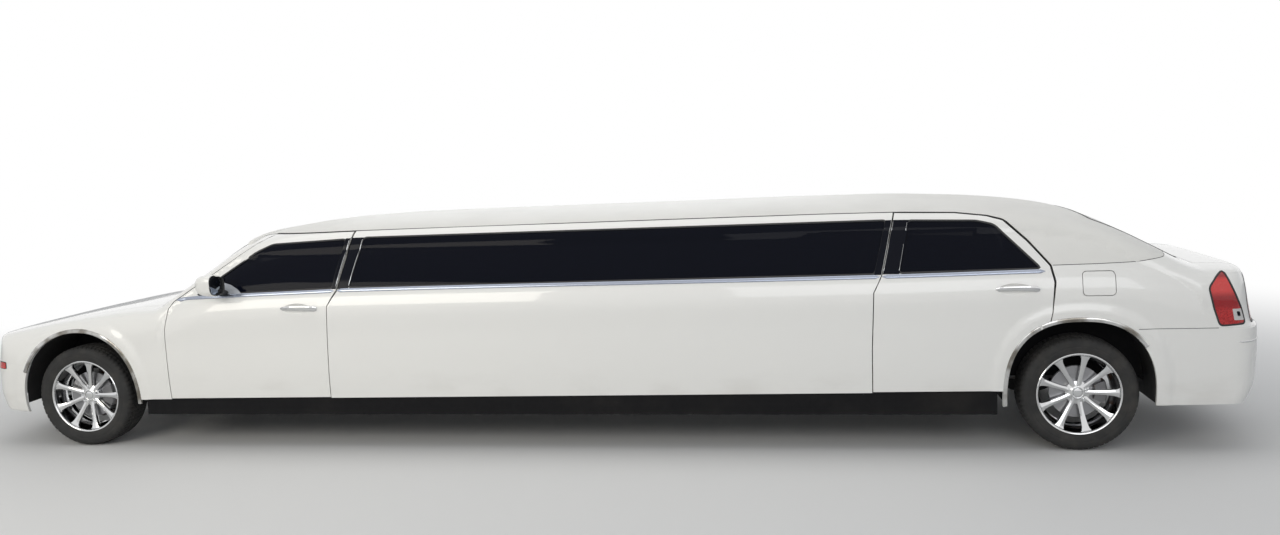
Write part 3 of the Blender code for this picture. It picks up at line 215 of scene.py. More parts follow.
class Finish:
    """A material with one main shader, and short ways to add noise, colours and bumps to it.

    It keeps a slot name, its own name unless another is given, but nothing here reads it.
    """

    def __init__(self, name, colour, roughness, metallic=0.0, slot=None, **constants):
        self.slot = slot or name
        self.material = bpy.data.materials.new(name)
        self.material.use_nodes = True
        self.tree = self.material.node_tree
        self.shader = self.tree.nodes["Principled BSDF"]
        self.shader.inputs["Base Color"].default_value = (*colour, 1)
        self.shader.inputs["Roughness"].default_value = roughness
        self.shader.inputs["Metallic"].default_value = metallic
        for key, value in constants.items():
            self.shader.inputs[key.replace("_", " ")].default_value = value

    def node(self, kind, settings=None, **inputs):
        node = self.tree.nodes.new(kind)
        for key, value in (settings or {}).items():
            setattr(node, key, value)
        for key, value in inputs.items():
            socket = node.inputs[key.replace("_", " ")]
            if isinstance(value, Wire):
                self.tree.links.new(value.socket, socket)
            else:
                socket.default_value = value
        return node

    def out(self, node, output):
        return Wire(self.tree, node.outputs[output])

    def place(self, scale=(1, 1, 1)):
        coordinates = self.node("ShaderNodeTexCoord")
        mapping = self.node("ShaderNodeMapping", Vector=self.out(coordinates, "Object"), Scale=scale)
        return self.out(mapping, "Vector")

    def axis(self, letter):
        split = self.node("ShaderNodeSeparateXYZ", Vector=self.place())
        return self.out(split, letter)

    def noise(self, scale, detail=2.0, stretch=(1, 1, 1)):
        node = self.node("ShaderNodeTexNoise", Vector=self.place(stretch), Scale=scale, Detail=detail)
        return self.out(node, "Fac")

    def cells(self, scale, feature="F1"):
        node = self.node("ShaderNodeTexVoronoi", {"feature": feature}, Vector=self.place(), Scale=scale)
        return self.out(node, "Distance")

    def blend(self, mask, first, second):
        """A colour between two, by a mask. Either may be a colour or a wire."""
        node = self.tree.nodes.new("ShaderNodeMix")
        node.data_type = "RGBA"
        self.tree.links.new(mask.socket, node.inputs[0])
        for socket, value in ((node.inputs[6], first), (node.inputs[7], second)):
            if isinstance(value, Wire):
                self.tree.links.new(value.socket, socket)
            else:
                socket.default_value = (*value, 1)
        return Wire(self.tree, node.outputs[2])

    def feed(self, socket, wire):
        self.tree.links.new(wire.socket, self.shader.inputs[socket])
        return self

    def tint(self, mask, first, second):
        """The finish's own colour, between two by a mask."""
        return self.feed("Base Color", self.blend(mask, first, second))

    def bump(self, height, depth, strength=1.0):
        node = self.node("ShaderNodeBump", Height=height, Distance=depth, Strength=strength)
        return self.feed("Normal", self.out(node, "Normal"))


# %% [markdown]
# The body wears white enamel under a clear coat. Seen close, real paint isn't one flat value: the coat has a faint
# ripple, and road film gathers low down behind the wheels. The film is tied to height, so it stays put on the car.

# %% Body paint and vinyl
PAINT_WHITE = (0.84, 0.835, 0.81)
ROAD_FILM = (0.60, 0.58, 0.54)

paint = Finish("white_paint", PAINT_WHITE, 0.32, Coat_Weight=1.0, Coat_Roughness=0.04, Specular_IOR_Level=0.5)
film = (1 - paint.axis("Z").ramp(0.34, 0.62)) * paint.noise(3.0, 5.0, (1, 1, 2.2)).ramp(0.42, 0.78)
paint.tint(film * 0.30, PAINT_WHITE, ROAD_FILM)
paint.feed("Roughness", 0.30 + film * 0.25 + paint.noise(40.0) * 0.04)
paint.bump(paint.noise(420.0, 1.0), 0.00006)

VINYL_WHITE = (0.82, 0.812, 0.78)
VINYL_GREY = (0.70, 0.69, 0.66)
vinyl = Finish("white_vinyl", VINYL_WHITE, 0.5, Specular_IOR_Level=0.45)
grain = vinyl.cells(260.0, "DISTANCE_TO_EDGE")
vinyl.tint(vinyl.noise(2.4, 4.0).ramp(0.35, 0.75) * 0.35, VINYL_WHITE, VINYL_GREY)
vinyl.feed("Roughness", 0.44 + vinyl.noise(30.0) * 0.12)
vinyl.bump(grain.ramp(0.0, 0.25), 0.0006, 0.5)
print("paint and vinyl ready")

# %% [markdown]
# Glass, bright metal, rubber and plastics. The side glass is so dark that the cabin hardly shows, so it is a deep
# navy with a sharp gloss. Chrome is a mirror with a trace of haze. Rubber is dull, browned by dust, and finely ribbed.

# %% Glass, metal, rubber and plastics
glass = Finish("tinted_glass", (0.003, 0.004, 0.009), 0.03, Specular_IOR_Level=0.07, Alpha=0.95)
glass.feed("Roughness", 0.02 + glass.noise(6.0, 3.0).ramp(0.5, 0.8) * 0.05)

chrome = Finish("chrome", (0.66, 0.665, 0.67), 0.06, 1.0)
chrome.feed("Roughness", 0.05 + chrome.noise(18.0, 3.0).ramp(0.45, 0.8) * 0.08)

satin = Finish("satin_moulding", (0.34, 0.37, 0.44), 0.22, 0.9, slot="chrome")
satin.feed("Roughness", 0.18 + satin.noise(30.0, 3.0, (0.2, 1, 1)) * 0.10)

rubber = Finish("tyre_rubber", (0.022, 0.021, 0.020), 0.78)
rubber.tint(rubber.noise(9.0, 5.0).ramp(0.4, 0.8) * 0.6, (0.018, 0.018, 0.018), (0.055, 0.050, 0.044))
rubber.feed("Roughness", 0.66 + rubber.noise(14.0) * 0.25)
rubber.bump(rubber.noise(160.0, 3.0), 0.0006, 0.4)

plastic = Finish("black_plastic", (0.018, 0.018, 0.019), 0.5)
plastic.tint(plastic.noise(5.0, 4.0).ramp(0.45, 0.8) * 0.5, (0.016, 0.016, 0.017), (0.045, 0.042, 0.038))
plastic.feed("Roughness", 0.42 + plastic.noise(24.0) * 0.2)
plastic.bump(plastic.noise(700.0, 2.0), 0.0002, 0.5)

seal = Finish("window_seal", (0.012, 0.012, 0.013), 0.55, slot="black_plastic")
seal.feed("Roughness", 0.48 + seal.noise(60.0) * 0.18)

cast = Finish("cast_metal", (0.16, 0.16, 0.165), 0.5, 0.7)
rust = cast.noise(16.0, 6.0).ramp(0.52, 0.72)
cast.tint(rust, (0.17, 0.17, 0.175), (0.13, 0.065, 0.035))
cast.feed("Roughness", 0.42 + rust * 0.4)
cast.feed("Metallic", 0.85 - rust * 0.8)
cast.bump(cast.noise(220.0, 4.0), 0.0008, 0.4)
print("glass, metals and rubber ready")

# %% [markdown]
# The body's outer form is one smooth surface, and every panel is a patch cut from it, so neighbours always line up.
# The form is what three simpler ones have in common: flanks, top line, and rounded nose and tail. Each gives the
# depth of a point below its own surface. A soft minimum joins them and rounds the edges where they meet.

# %% Lines of the body
FRONT_AXLE = -3.57
REAR_AXLE = 3.28
HALF_WIDTH = 0.94
WHEEL_RADIUS = 0.3635
F, R = FRONT_AXLE, REAR_AXLE
NOSE_AXIS, TAIL_AXIS = F - 0.36, R + 0.30  # patches of the two ends turn about these upright lines


def fair(rows):
    """A smooth curve through rows of (x, value) that never swings past them, for whole arrays at once."""
    xs, values = np.array(rows, dtype=float).T
    steps = np.diff(values) / np.diff(xs)
    both = steps[:-1] * steps[1:]
    total = steps[:-1] + steps[1:]
    inner = np.where(both > 0, 2 * both / np.where(both > 0, total, 1), 0)
    slopes = np.concatenate(([steps[0]], inner, [steps[-1]]))

    def value(x):
        x = np.clip(x, xs[0], xs[-1])
        i = np.clip(np.searchsorted(xs, x) - 1, 0, len(xs) - 2)
        span = xs[i + 1] - xs[i]
        t = (x - xs[i]) / span
        start = (1 + 2 * t) * (1 - t) ** 2 * values[i] + t * (1 - t) ** 2 * span * slopes[i]
        return start + t * t * (3 - 2 * t) * values[i + 1] - t * t * (1 - t) * span * slopes[i + 1]

    return value


# x, height at the middle, half-width of the crown, drop at its edge, squareness
TOP_ROWS = (
    (F - 1.00, 0.680, 0.95, 0.12, 4.0), (F - 0.865, 0.735, 0.95, 0.12, 4.0), (F - 0.82, 0.785, 0.95, 0.12, 4.0),
    (F - 0.70, 0.824, 0.95, 0.12, 4.0), (F - 0.50, 0.864, 0.95, 0.12, 4.0), (F - 0.18, 0.921, 0.95, 0.12, 4.0),
    (F + 0.17, 0.969, 0.95, 0.12, 4.0), (F + 0.42, 0.996, 0.95, 0.12, 4.0), (F + 0.565, 1.006, 0.95, 0.12, 4.0),
    (F + 0.60, 1.022, 0.94, 0.12, 3.8), (F + 0.76, 1.140, 0.88, 0.13, 3.2), (F + 0.96, 1.288, 0.82, 0.14, 2.8),
    (F + 1.16, 1.432, 0.77, 0.15, 2.6), (F + 1.24, 1.472, 0.76, 0.15, 2.5), (F + 1.38, 1.508, 0.76, 0.15, 2.5),
    (F + 1.60, 1.536, 0.76, 0.15, 2.5), (F + 1.90, 1.558, 0.76, 0.16, 2.5), (F + 2.40, 1.575, 0.76, 0.16, 2.5),
    (R - 2.60, 1.593, 0.76, 0.16, 2.5), (R - 1.58, 1.603, 0.76, 0.16, 2.5), (R - 1.20, 1.603, 0.76, 0.16, 2.5),
    (R - 0.64, 1.582, 0.76, 0.16, 2.5), (R - 0.33, 1.556, 0.77, 0.16, 2.5), (R - 0.06, 1.516, 0.78, 0.16, 2.6),
    (R + 0.12, 1.468, 0.80, 0.16, 2.7), (R + 0.30, 1.388, 0.84, 0.16, 2.9), (R + 0.50, 1.277, 0.88, 0.15, 3.2),
    (R + 0.68, 1.176, 0.92, 0.13, 3.6), (R + 0.745, 1.152, 0.94, 0.12, 4.0), (R + 0.86, 1.150, 0.95, 0.12, 4.0),
    (R + 0.97, 1.142, 0.95, 0.12, 4.0), (R + 1.03, 1.120, 0.95, 0.12, 4.0), (R + 1.30, 1.000, 0.95, 0.12, 4.0),
)
top_height, crown_half, crown_drop, crown_power = (fair([(row[0], row[k]) for row in TOP_ROWS]) for k in (1, 2, 3, 4))
belt = fair((
    (F - 1.00, 0.720), (F - 0.60, 0.795), (F - 0.18, 0.865), (F + 0.20, 0.922), (F + 0.565, 0.985), (F + 0.85, 1.055),
    (F + 1.50, 1.095), (F + 2.40, 1.112), (R - 1.20, 1.138), (R - 0.20, 1.152), (R + 0.40, 1.150), (R + 1.20, 1.090),
))
side_width = fair((
    (F - 1.00, HALF_WIDTH - 0.020), (F - 0.40, HALF_WIDTH - 0.004), (F, HALF_WIDTH), (R, HALF_WIDTH),
    (R + 0.50, HALF_WIDTH - 0.004), (R + 1.30, HALF_WIDTH - 0.030),
))
tuck_low = fair(((0.18, 0.120), (0.20, 0.110), (0.27, 0.030), (0.38, 0.010), (0.56, 0.0), (0.70, 0.0)))
tuck_high = fair(((0.0, 0.055), (0.055, 0.030), (0.15, 0.012), (0.36, 0.002), (0.50, 0.0), (0.60, 0.0)))
nose = fair((
    (0.05, -0.78), (0.22, -0.80), (0.30, -0.838), (0.42, -0.865), (0.56, -0.865), (0.64, -0.852), (0.72, -0.838),
    (0.80, -0.82), (1.80, -0.60),
))
tail = fair((
    (0.05, 1.02), (0.24, 1.06), (0.31, 1.10), (0.45, 1.148), (0.64, 1.155), (0.775, 1.150), (0.795, 1.125),
    (0.90, 1.100), (1.04, 1.075), (1.15, 1.035), (1.80, 0.90),
))

# %% [markdown]
# A lip is raised round each wheel arch, as on the pressed fender: full height beside the opening, then a soft step
# down to the flank. It is part of the form itself, so the door and fender that share it stay flush.

# %% The form as a depth below the surface
ARCH_HALF = 0.445
ARCH_RISE = 0.835 - WHEEL_RADIUS
ARCH_SQUARE = {FRONT_AXLE: 2.1, REAR_AXLE: 2.4}
FLARE = 0.010


def smooth_step(low, high, x):
    t = np.clip((x - low) / (high - low), 0, 1)
    return t * t * (3 - 2 * t)


def arch_distance(axle, x, z):
    """Roughly how far a point of the flank lies outside a wheel arch."""
    power = ARCH_SQUARE[axle]
    across = np.abs((x - axle) / ARCH_HALF)
    above = np.maximum(z - WHEEL_RADIUS, 0) / ARCH_RISE
    return ((across**power + above**power) ** (1 / power) - 1) * ARCH_HALF


def flare(x, z):
    """How far the lips round the wheel arches stand out of the flank."""
    lift = 0
    for axle in (FRONT_AXLE, REAR_AXLE):
        lift = lift + FLARE * (1 - smooth_step(0.055, 0.115, arch_distance(axle, x, z)))
    return lift


def soft_min(a, b, reach):
    """The smaller of two depths, rounded off where they come within reach of each other."""
    mix = np.maximum(reach - np.abs(a - b), 0) / reach
    return np.minimum(a, b) - mix * mix * reach / 4


def corner(y, depth):
    """How far the plan outline of the nose or tail falls back at y, and its slope there."""
    share = np.minimum(np.abs(y) / (HALF_WIDTH + 0.012), 0.9995)
    rest = 1 - share**3
    return depth * (1 - np.cbrt(rest)), depth / HALF_WIDTH * share**2 / rest ** (2 / 3)


def depth_below(points):
    """Depth of points below the body's surface, positive inside."""
    x, y, z = points[..., 0], points[..., 1], points[..., 2]
    above = z - belt(x)
    width = side_width(x) - tuck_low(z)
    width = width - np.where(above > 0, 0.055 + 0.36 * above + 0.24 * above * above, tuck_high(-above))
    flank = (width + flare(x, z) - np.abs(y)) / np.where(above > 0, 1.13, 1.0)
    share = np.minimum(np.abs(y) / crown_half(x), 0.998)
    power = crown_power(x)
    rest = 1 - share**power
    slope = crown_drop(x) / crown_half(x) * share ** (power - 1) * rest ** (1 / power - 1)
    top = (top_height(x) - crown_drop(x) * (1 - rest ** (1 / power)) - z) / np.sqrt(1 + slope**2)
    back, turn = corner(y, 0.50)
    front_end = (x - FRONT_AXLE - nose(z) - back) / np.sqrt(1 + turn**2)
    back, turn = corner(y, 0.36)
    rear_end = (REAR_AXLE + tail(z) - back - x) / np.sqrt(1 + turn**2)
    body = soft_min(flank, top, 0.05)
    return soft_min(soft_min(body, front_end, 0.03), rear_end, 0.03)


def outward(points):
    """The direction away from the surface, for shading that ignores how a panel was cut."""
    step = 0.0015
    slopes = [depth_below(points - step * axis) - depth_below(points + step * axis) for axis in np.eye(3)]
    direction = np.stack(slopes, axis=-1)
    return direction / np.maximum(np.linalg.norm(direction, axis=-1, keepdims=True), 1e-9)


LONGEST_RAY = 3.0
HALVINGS = 36


def lay_on_form(starts, ways, under):
    """The point of each ray that lies a given depth under the surface. Rays start inside the body."""
    near = np.zeros(starts.shape[:-1])
    far = np.full(starts.shape[:-1], LONGEST_RAY)
    for _ in range(HALVINGS):
        middle = (near + far) / 2
        inside = depth_below(starts + middle[..., None] * ways) > under
        near = np.where(inside, middle, near)
        far = np.where(inside, far, middle)
    return starts + near[..., None] * ways


widest = lay_on_form(np.array([[0, 0, 0.56]]), np.array([[0, 1.0, 0]]), 0.0)
print("the form is", round(2 * float(widest[0, 1]), 3), "m wide")

# %% [markdown]
# A patch starts as a flat grid. Its points slide along straight rays until they meet the form: sideways for the
# flanks, upwards for the top, and outwards from an upright axis for the nose and tail, which the bumpers wrap round.

# %% Grid patches on the form
def fine(low, high, step, extra=()):
    """Even grid lines between two values, with more where they are asked for, but never two almost on each other."""
    even_lines = np.linspace(low, high, max(2, int(round((high - low) / step)) + 1))
    lines = sorted({*even_lines, *(float(v) for v in extra if low < v < high)})
    kept = lines[:1]
    for line in lines[1:]:
        if line - kept[-1] > 0.1 * step:
            kept.append(line)
    return np.array(kept[:-1] + lines[-1:])


def grid(columns, rows):
    deselect()
    bpy.ops.mesh.primitive_grid_add(x_subdivisions=len(columns) - 1, y_subdivisions=len(rows) - 1, size=1)
    return bpy.context.active_object, *(a.ravel() for a in np.meshgrid(columns, rows))


rays_of = {}


def lay_patch(obj, starts, ways, under):
    ways = np.broadcast_to(ways, starts.shape)
    rays_of[obj.name] = (starts, ways, under)
    return place_points(obj, lay_on_form(starts, ways, under))


def side_patch(xs, zs, under=0.0):
    obj, x, z = grid(xs, zs)
    return lay_patch(obj, np.stack([x, np.zeros_like(x), z], axis=-1), np.array([0, -1.0, 0]), under)


def top_patch(xs, ys, under=0.0):
    obj, x, y = grid(xs, ys)
    return lay_patch(obj, np.stack([x, y, np.full_like(x, 0.45)], axis=-1), np.array([0, 0, 1.0]), under)


def end_patch(turns, zs, middle_x, under=0.0):
    """Wraps an end of the car. Turns are angles in plan, 0 towards +X, from an upright axis at middle_x."""
    obj, turn, z = grid(turns, zs)
    starts = np.stack([np.full_like(turn, middle_x), np.zeros_like(turn), z], axis=-1)
    ways = np.stack([np.cos(turn), np.sin(turn), np.zeros_like(turn)], axis=-1)
    return lay_patch(obj, starts, ways, under)


def face_out(obj):
    """Turns the faces of an open patch away from the body."""
    mesh = obj.data
    middle = np.array([p.center[:] for p in mesh.polygons])
    normals = np.array([p.normal[:] for p in mesh.polygons])
    if (np.einsum("ij,ij->i", outward(middle), normals) < 0).mean() > 0.5:
        mesh.flip_normals()
    return obj


def thicken(obj, depth, reach=12):
    """Gives a patch its thickness. The inner layer lies on the same rays, so it can't fold over itself at a corner."""
    starts, ways, under = rays_of[obj.name]
    apply_modifier(face_out(obj), "SOLIDIFY", thickness=depth, offset=-1)
    points = points_of(obj)
    outer, inner = points[:len(starts)], lay_on_form(starts, ways, under + depth)
    near = np.linalg.norm(inner - outer, axis=1) < reach * depth
    points[len(starts):][near] = inner[near]
    return place_points(obj, points)


def outline_block(outline, axis, low, high):
    """A closed block whose outline is drawn in (x, z), (x, y) or (y, z) and pushed along the axis left over."""
    order = {"y": (0, 2, 1), "z": (0, 1, 2), "x": (1, 2, 0)}[axis]
    deselect()
    bpy.ops.mesh.primitive_circle_add(vertices=len(outline), fill_type="NGON")
    block = bpy.context.active_object
    points = np.zeros((len(outline), 3))
    points[:, order[0]], points[:, order[1]] = np.array(outline).T
    points[:, order[2]] = low
    place_points(block, points)
    push = [0, 0, 0]
    push[order[2]] = high - low
    bpy.ops.object.mode_set(mode="EDIT")
    bpy.ops.mesh.select_all(action="SELECT")
    bpy.ops.mesh.extrude_region_move(TRANSFORM_OT_translate={"value": push})
    return turn_faces_out(block)


def grown(outline, distance):
    """An outline with each side moved outwards."""
    points = [Vector(p) for p in outline]
    count = len(points)
    area = sum(a.x * b.y - b.x * a.y for a, b in zip(points, points[1:] + points[:1]))
    side = distance if area > 0 else -distance
    moved = []
    for i, here in enumerate(points):
        first = (here - points[i - 1]).normalized()
        second = (points[(i + 1) % count] - here).normalized()
        push = Vector((first.y, -first.x)) + Vector((second.y, -second.x))
        moved.append(tuple(here + push * (2 * side / push.length_squared)))
    return moved


def rounded(outline, radius, steps=6):
    """An outline with its corners rounded."""
    points = [Vector(p) for p in outline]
    smooth = []
    for i, here in enumerate(points):
        before, after = points[i - 1], points[(i + 1) % len(points)]
        reach = min(radius, (here - before).length * 0.45, (after - here).length * 0.45)
        start = here + (before - here).normalized() * reach
        end = here + (after - here).normalized() * reach
        for k in range(steps + 1):
            t = k / steps
            smooth.append(tuple(start * (1 - t) ** 2 + here * 2 * t * (1 - t) + end * t * t))
    return smooth


ALONG_FORM = 0.75


def shade_by_form(obj):
    """Gives the faces that lie along the form its own smooth shading, and leaves cut edges crisp."""
    mesh = obj.data
    mesh.shade_smooth()
    directions = outward(points_of(obj))
    normals = []
    for polygon in mesh.polygons:
        flat = np.array(polygon.normal[:])
        for index in polygon.loop_indices:
            way = directions[mesh.loops[index].vertex_index]
            agree = float(flat @ way)
            normals.append(way * math.copysign(1, agree) if abs(agree) > ALONG_FORM else flat)
    mesh.normals_split_custom_set(normals)
    return obj


print("patch tools ready")

# %% [markdown]
# Outlines of doors, windows and roof are drawn once in side view, as (x, z) points. A panel is a patch of the form,
# thickened inwards and cut to its outline by a Boolean, with the gap to its neighbour left open as a dark shut line.

# %% Outlines in side view
AWAY = 1.3  # further to the side than any panel
DOOR_GAP = 0.006
SWING_GAP = 0.008
LID_GAP = 0.007
SKIRT_FRONT, SKIRT_REAR = 0.350, 0.390


def skirt(x):
    """Height of the panels' lower edge between the wheels, which climbs a little to the rear."""
    share = (x - F - ARCH_HALF) / (R - F - 2 * ARCH_HALF)
    return SKIRT_FRONT + (SKIRT_REAR - SKIRT_FRONT) * share


DRIP_ROWS = (
    (F + 1.405, 1.4835), (F + 2.05, 1.4970), (F + 2.40, 1.5010), (R - 2.60, 1.5180), (R - 1.58, 1.5260),
    (R - 1.08, 1.5255), (R - 0.73, 1.5150), (R - 0.53, 1.4920), (R - 0.43, 1.4660),
)
front_door_line = [
    (F + 0.705, skirt(F + 0.705) + DOOR_GAP), (F + 0.700, 0.60), (F + 0.692, 0.85), (F + 0.712, 0.99),
    (F + 0.745, 1.040), (F + 1.395, 1.4765), (F + 2.040, 1.4900), (F + 1.965, 1.105), (F + 1.905, 1.000),
    (F + 1.895, skirt(F + 1.895) + DOOR_GAP),
]
rear_door_line = [
    (R - 1.270, skirt(R - 1.27) + DOOR_GAP), (R - 1.270, 0.66), (R - 1.255, 1.030), (R - 1.200, 1.140),
    (R - 1.108, 1.5185), (R - 0.730, 1.5080), (R - 0.535, 1.4850), (R - 0.440, 1.4580), (R - 0.305, 1.3280),
    (R - 0.180, 1.1780), (R - 0.160, 1.0800), (R - 0.175, 0.9000), (R - 0.220, 0.7000),
    (R - 0.330, skirt(R - 0.33) + DOOR_GAP),
]
front_window_line = [
    (F + 0.915, 1.086), (F + 1.10, 1.212), (F + 1.33, 1.366), (F + 1.45, 1.420), (F + 2.002, 1.444), (F + 1.940, 1.118),
]
middle_window_line = [(F + 2.055, 1.122), (F + 2.125, 1.452), (R - 1.160, 1.478), (R - 1.245, 1.146)]
rear_window_line = [
    (R - 1.100, 1.150), (R - 1.030, 1.474), (R - 0.600, 1.462), (R - 0.495, 1.436), (R - 0.230, 1.163),
]
middle_line = [
    (F + 1.80, skirt(F + 1.80)), (F + 1.80, 1.20), (F + 2.00, 1.4957), *[(x, z - 0.0003) for x, z in DRIP_ROWS[1:5]],
    (R - 1.116, 1.5251), (R - 1.20, 1.160), (R - 1.20, skirt(R - 1.20)),
]


def door_hole(outline):
    """The opening a door leaves in its neighbour: a gap all round, wider where its upper rear edge swings past."""
    middle = (min(x for x, z in outline) + max(x for x, z in outline)) / 2
    return [(x + SWING_GAP if x > middle and z > 1.05 else x, z) for x, z in grown(outline, DOOR_GAP)]


ARCH_STEPS = 40


def arch_line(axle, grow=0.0):
    """The outline of a wheel opening, closed below the car."""
    half, rise, power = ARCH_HALF + grow, ARCH_RISE + grow, ARCH_SQUARE[axle]
    line = [(axle + half, 0.05), (axle - half, 0.05)]
    for i in range(ARCH_STEPS + 1):
        a = math.pi * (1 - i / ARCH_STEPS)
        across = math.copysign(abs(math.cos(a)) ** (2 / power), math.cos(a))
        line.append((axle + half * across, WHEEL_RADIUS + rise * math.sin(a) ** (2 / power)))
    return line


def side_cut(obj, outline, operation="DIFFERENCE", low=-AWAY, high=-0.40):
    """Cuts with an outline in side view, through the left flank unless other sideways limits are given."""
    return boolean(obj, outline_block(outline, "y", low, high), operation)


# %% [markdown]
# Doors and the long middle panels come from side patches. The grid is closer above the belt, where the flank turns
# in, and along the shoulder, because a highlight shows every unfair point there.

# %% Side panels
SKIN = 0.018


def side_panel(outline, xs, zs, windows=(), holes=(), arches=(), under=0.0, depth=SKIN, reach=12):
    """A left-hand panel from its grid lines and its outline, with what is cut out of it."""
    panel = thicken(side_patch(xs, zs, under), depth, reach)
    side_cut(panel, outline, "INTERSECT")
    for line in (*windows, *holes):
        side_cut(panel, line)
    for axle in arches:
        side_cut(panel, arch_line(axle))
    return panel


DOOR_HEIGHTS = fine(0.30, 1.56, 0.028, np.linspace(1.02, 1.14, 9))
WINDOW_ROUND = 0.025
WIND_FRONT, WIND_MIDDLE, WIND_REAR = (
    rounded(line, WINDOW_ROUND) for line in (front_window_line, middle_window_line, rear_window_line)
)


def pair(left, name, body, finish, stands_for=()):
    """Finishes a left-hand piece and its mirror image."""
    other = mirror_image(left, f"{name}_right")
    return [
        dress(obj, f"{name}_{side}", body.format(side=side), finish, [n.format(side=side) for n in stands_for])
        for obj, side in ((left, "left"), (other, "right"))
    ]


def shaded_pair(left, name, body, finish, stands_for=()):
    """The same for a piece that lies in the form's surface, so it takes the form's shading."""
    return [shade_by_form(obj) for obj in pair(left, name, body, finish, stands_for)]


HANDLE_CUP = (0.098, 0.036)


def oval(centre, size):
    a = np.linspace(0, 2 * np.pi, 48, endpoint=False)
    return [*zip(centre[0] + size[0] * np.cos(a), centre[1] + size[1] * np.sin(a))]


CUP_MIDDLES = {"front_door": (F + 1.690, 0.986), "rear_door": (R - 0.395, 1.040)}
door_rows = (
    ("front_door", front_door_line, WIND_FRONT, fine(F + 0.66, F + 2.08, 0.030), (FRONT_AXLE,)),
    ("rear_door", rear_door_line, WIND_REAR, fine(R - 1.31, R - 0.12, 0.028), (REAR_AXLE,)),
)
skins = []
for name, outline, window, xs, arches in door_rows:
    skin = side_panel(outline, xs, DOOR_HEIGHTS, [window, oval(CUP_MIDDLES[name], HANDLE_CUP)], arches=arches)
    skins += pair(skin, f"{name}_skin", name + "_{side}_body", paint, [name + "_{side}"])
middle = side_panel(
    middle_line, fine(F + 1.76, R - 1.09, 0.075), DOOR_HEIGHTS, [WIND_MIDDLE],
    [door_hole(front_door_line), door_hole(rear_door_line)],
)
skins += pair(middle, "middle_skin", "car", paint, ["middle_panel_{side}"])
print("door and middle skins:", [len(s.data.polygons) for s in skins])

# %% [markdown]
# Fenders and rear quarters wrap over the edge of the form onto its top, which sideways rays can't reach. Their rays
# fan out round cross-sections of the car instead, so one patch covers the flank, the shoulder and the top.

# %% Fenders and quarters
BONNET_HALF = 0.70
LID_HALF = 0.60
NOSE_TOP = 0.757
LAMP_TOP = NOSE_TOP + 0.018
BUMPER_TOP_FRONT = 0.60
BUMPER_TOP_REAR = 0.783
COWL_X = F + 0.565
LID_X = R + 0.745
SEAM = 0.0003


def fan_patch(xs, angles, middle_y, highest, below_top):
    """Points round cross-sections of the car. Their rays fan out from a line at middle_y, some way below its top."""
    obj, x, a = grid(xs, angles)
    starts = np.stack([x, middle_y + 0 * x, np.minimum(highest, top_height(x) - below_top)], axis=-1)
    return lay_patch(obj, starts, np.stack([0 * x, -np.cos(a), np.sin(a)], axis=-1), 0.0)


def section_patch(xs, count):
    """The left side, up the flank and over to the middle, with its points closest round the shoulder."""
    turns = np.concatenate((np.linspace(-62, 6, count // 2), np.linspace(7.5, 64, count), np.linspace(67, 90, 9)))
    return fan_patch(xs, np.radians(turns), -0.30, 0.74, 0.22)


lamp_line = [
    (-0.850, 0.640), (-0.470, 0.625), (-0.470, NOSE_TOP), (-BONNET_HALF, LAMP_TOP), (-0.800, LAMP_TOP + 0.004),
    (-0.850, NOSE_TOP),
]
fender_line = [
    (F - 1.0, 1.30), (F - 1.0, BUMPER_TOP_FRONT + 0.0203), (F - 0.62, BUMPER_TOP_FRONT + 0.0203),
    (F - 0.30, BUMPER_TOP_FRONT + SEAM), (F - 0.10, 0.45), (F + 0.20, skirt(F + 0.20)), (F + 0.80, skirt(F + 0.80)),
    (F + 0.80, 1.0747), (F + 0.720, 1.0300), (COWL_X + LID_GAP - SEAM, 0.9850), (COWL_X + LID_GAP - SEAM, 1.30),
]
quarter_line = [
    (R - 0.240, 0.700), (R - 0.240, 1.20), (R - 0.165, 1.1807), (R + 0.120, 1.1847), (R + 0.340, 1.1907),
    (R + 0.500, 1.2147), (R + 0.6203, 1.2597), (R + 0.6203, 1.50), (R + 1.40, 1.50),
    (R + 1.40, BUMPER_TOP_REAR + SEAM), (R + 0.28, BUMPER_TOP_REAR + SEAM), (R + 0.24, 0.700),
]
tail_lamp_line = [
    (R + 0.800, BUMPER_TOP_REAR + SEAM), (R + 0.765, 0.980), (R + 0.790, 1.070), (R + 0.840, 1.110),
    (R + 1.40, 1.110), (R + 1.40, BUMPER_TOP_REAR + SEAM),
]
wedge_line = rounded([
    (R + 0.803, 0.796), (R + 0.769, 0.900), (R + 0.740, 1.030), (R + 0.790, 1.098), (R + 0.838, 1.130),
    (R + 0.856, 1.074),
    (R + 0.897, 0.980), (R + 0.931, 0.902), (R + 0.957, 0.806),
], 0.022)
lamp_hole = [
    (R + 1.40, BUMPER_TOP_REAR), (R + 0.7995, BUMPER_TOP_REAR), (R + 0.7980, 0.808), (R + 0.769, 0.900),
    (R + 0.7430, 1.018),
    (R + 0.7450, 1.040), (R + 0.785, 1.092), (R + 0.8220, 1.1200), (R + 0.8380, 1.1260), (R + 0.8440, 1.1103),
    (R + 1.40, 1.1103),
]
fuel_line = rounded([(R + 0.010, 0.995), (R + 0.200, 0.995), (R + 0.200, 1.140), (R + 0.010, 1.140)], 0.028)

def wrapped_panel(xs, count, outline, inner, holes=(), arches=()):
    """A panel that wraps over the edge of the form: cut in side view, and kept outside y = -inner."""
    panel = thicken(section_patch(xs, count), SKIN)
    side_cut(panel, outline, "INTERSECT", -AWAY, -inner)
    for hole in holes:
        boolean(panel, hole, "DIFFERENCE")
    for axle in arches:
        side_cut(panel, arch_line(axle))
    return panel


def lamp_block(grow=0.0):
    """The room of the left head lamp, which fender, cup and cover are cut with."""
    return outline_block(grown(lamp_line, grow), "x", F - 1.0, F - 0.52 + grow)


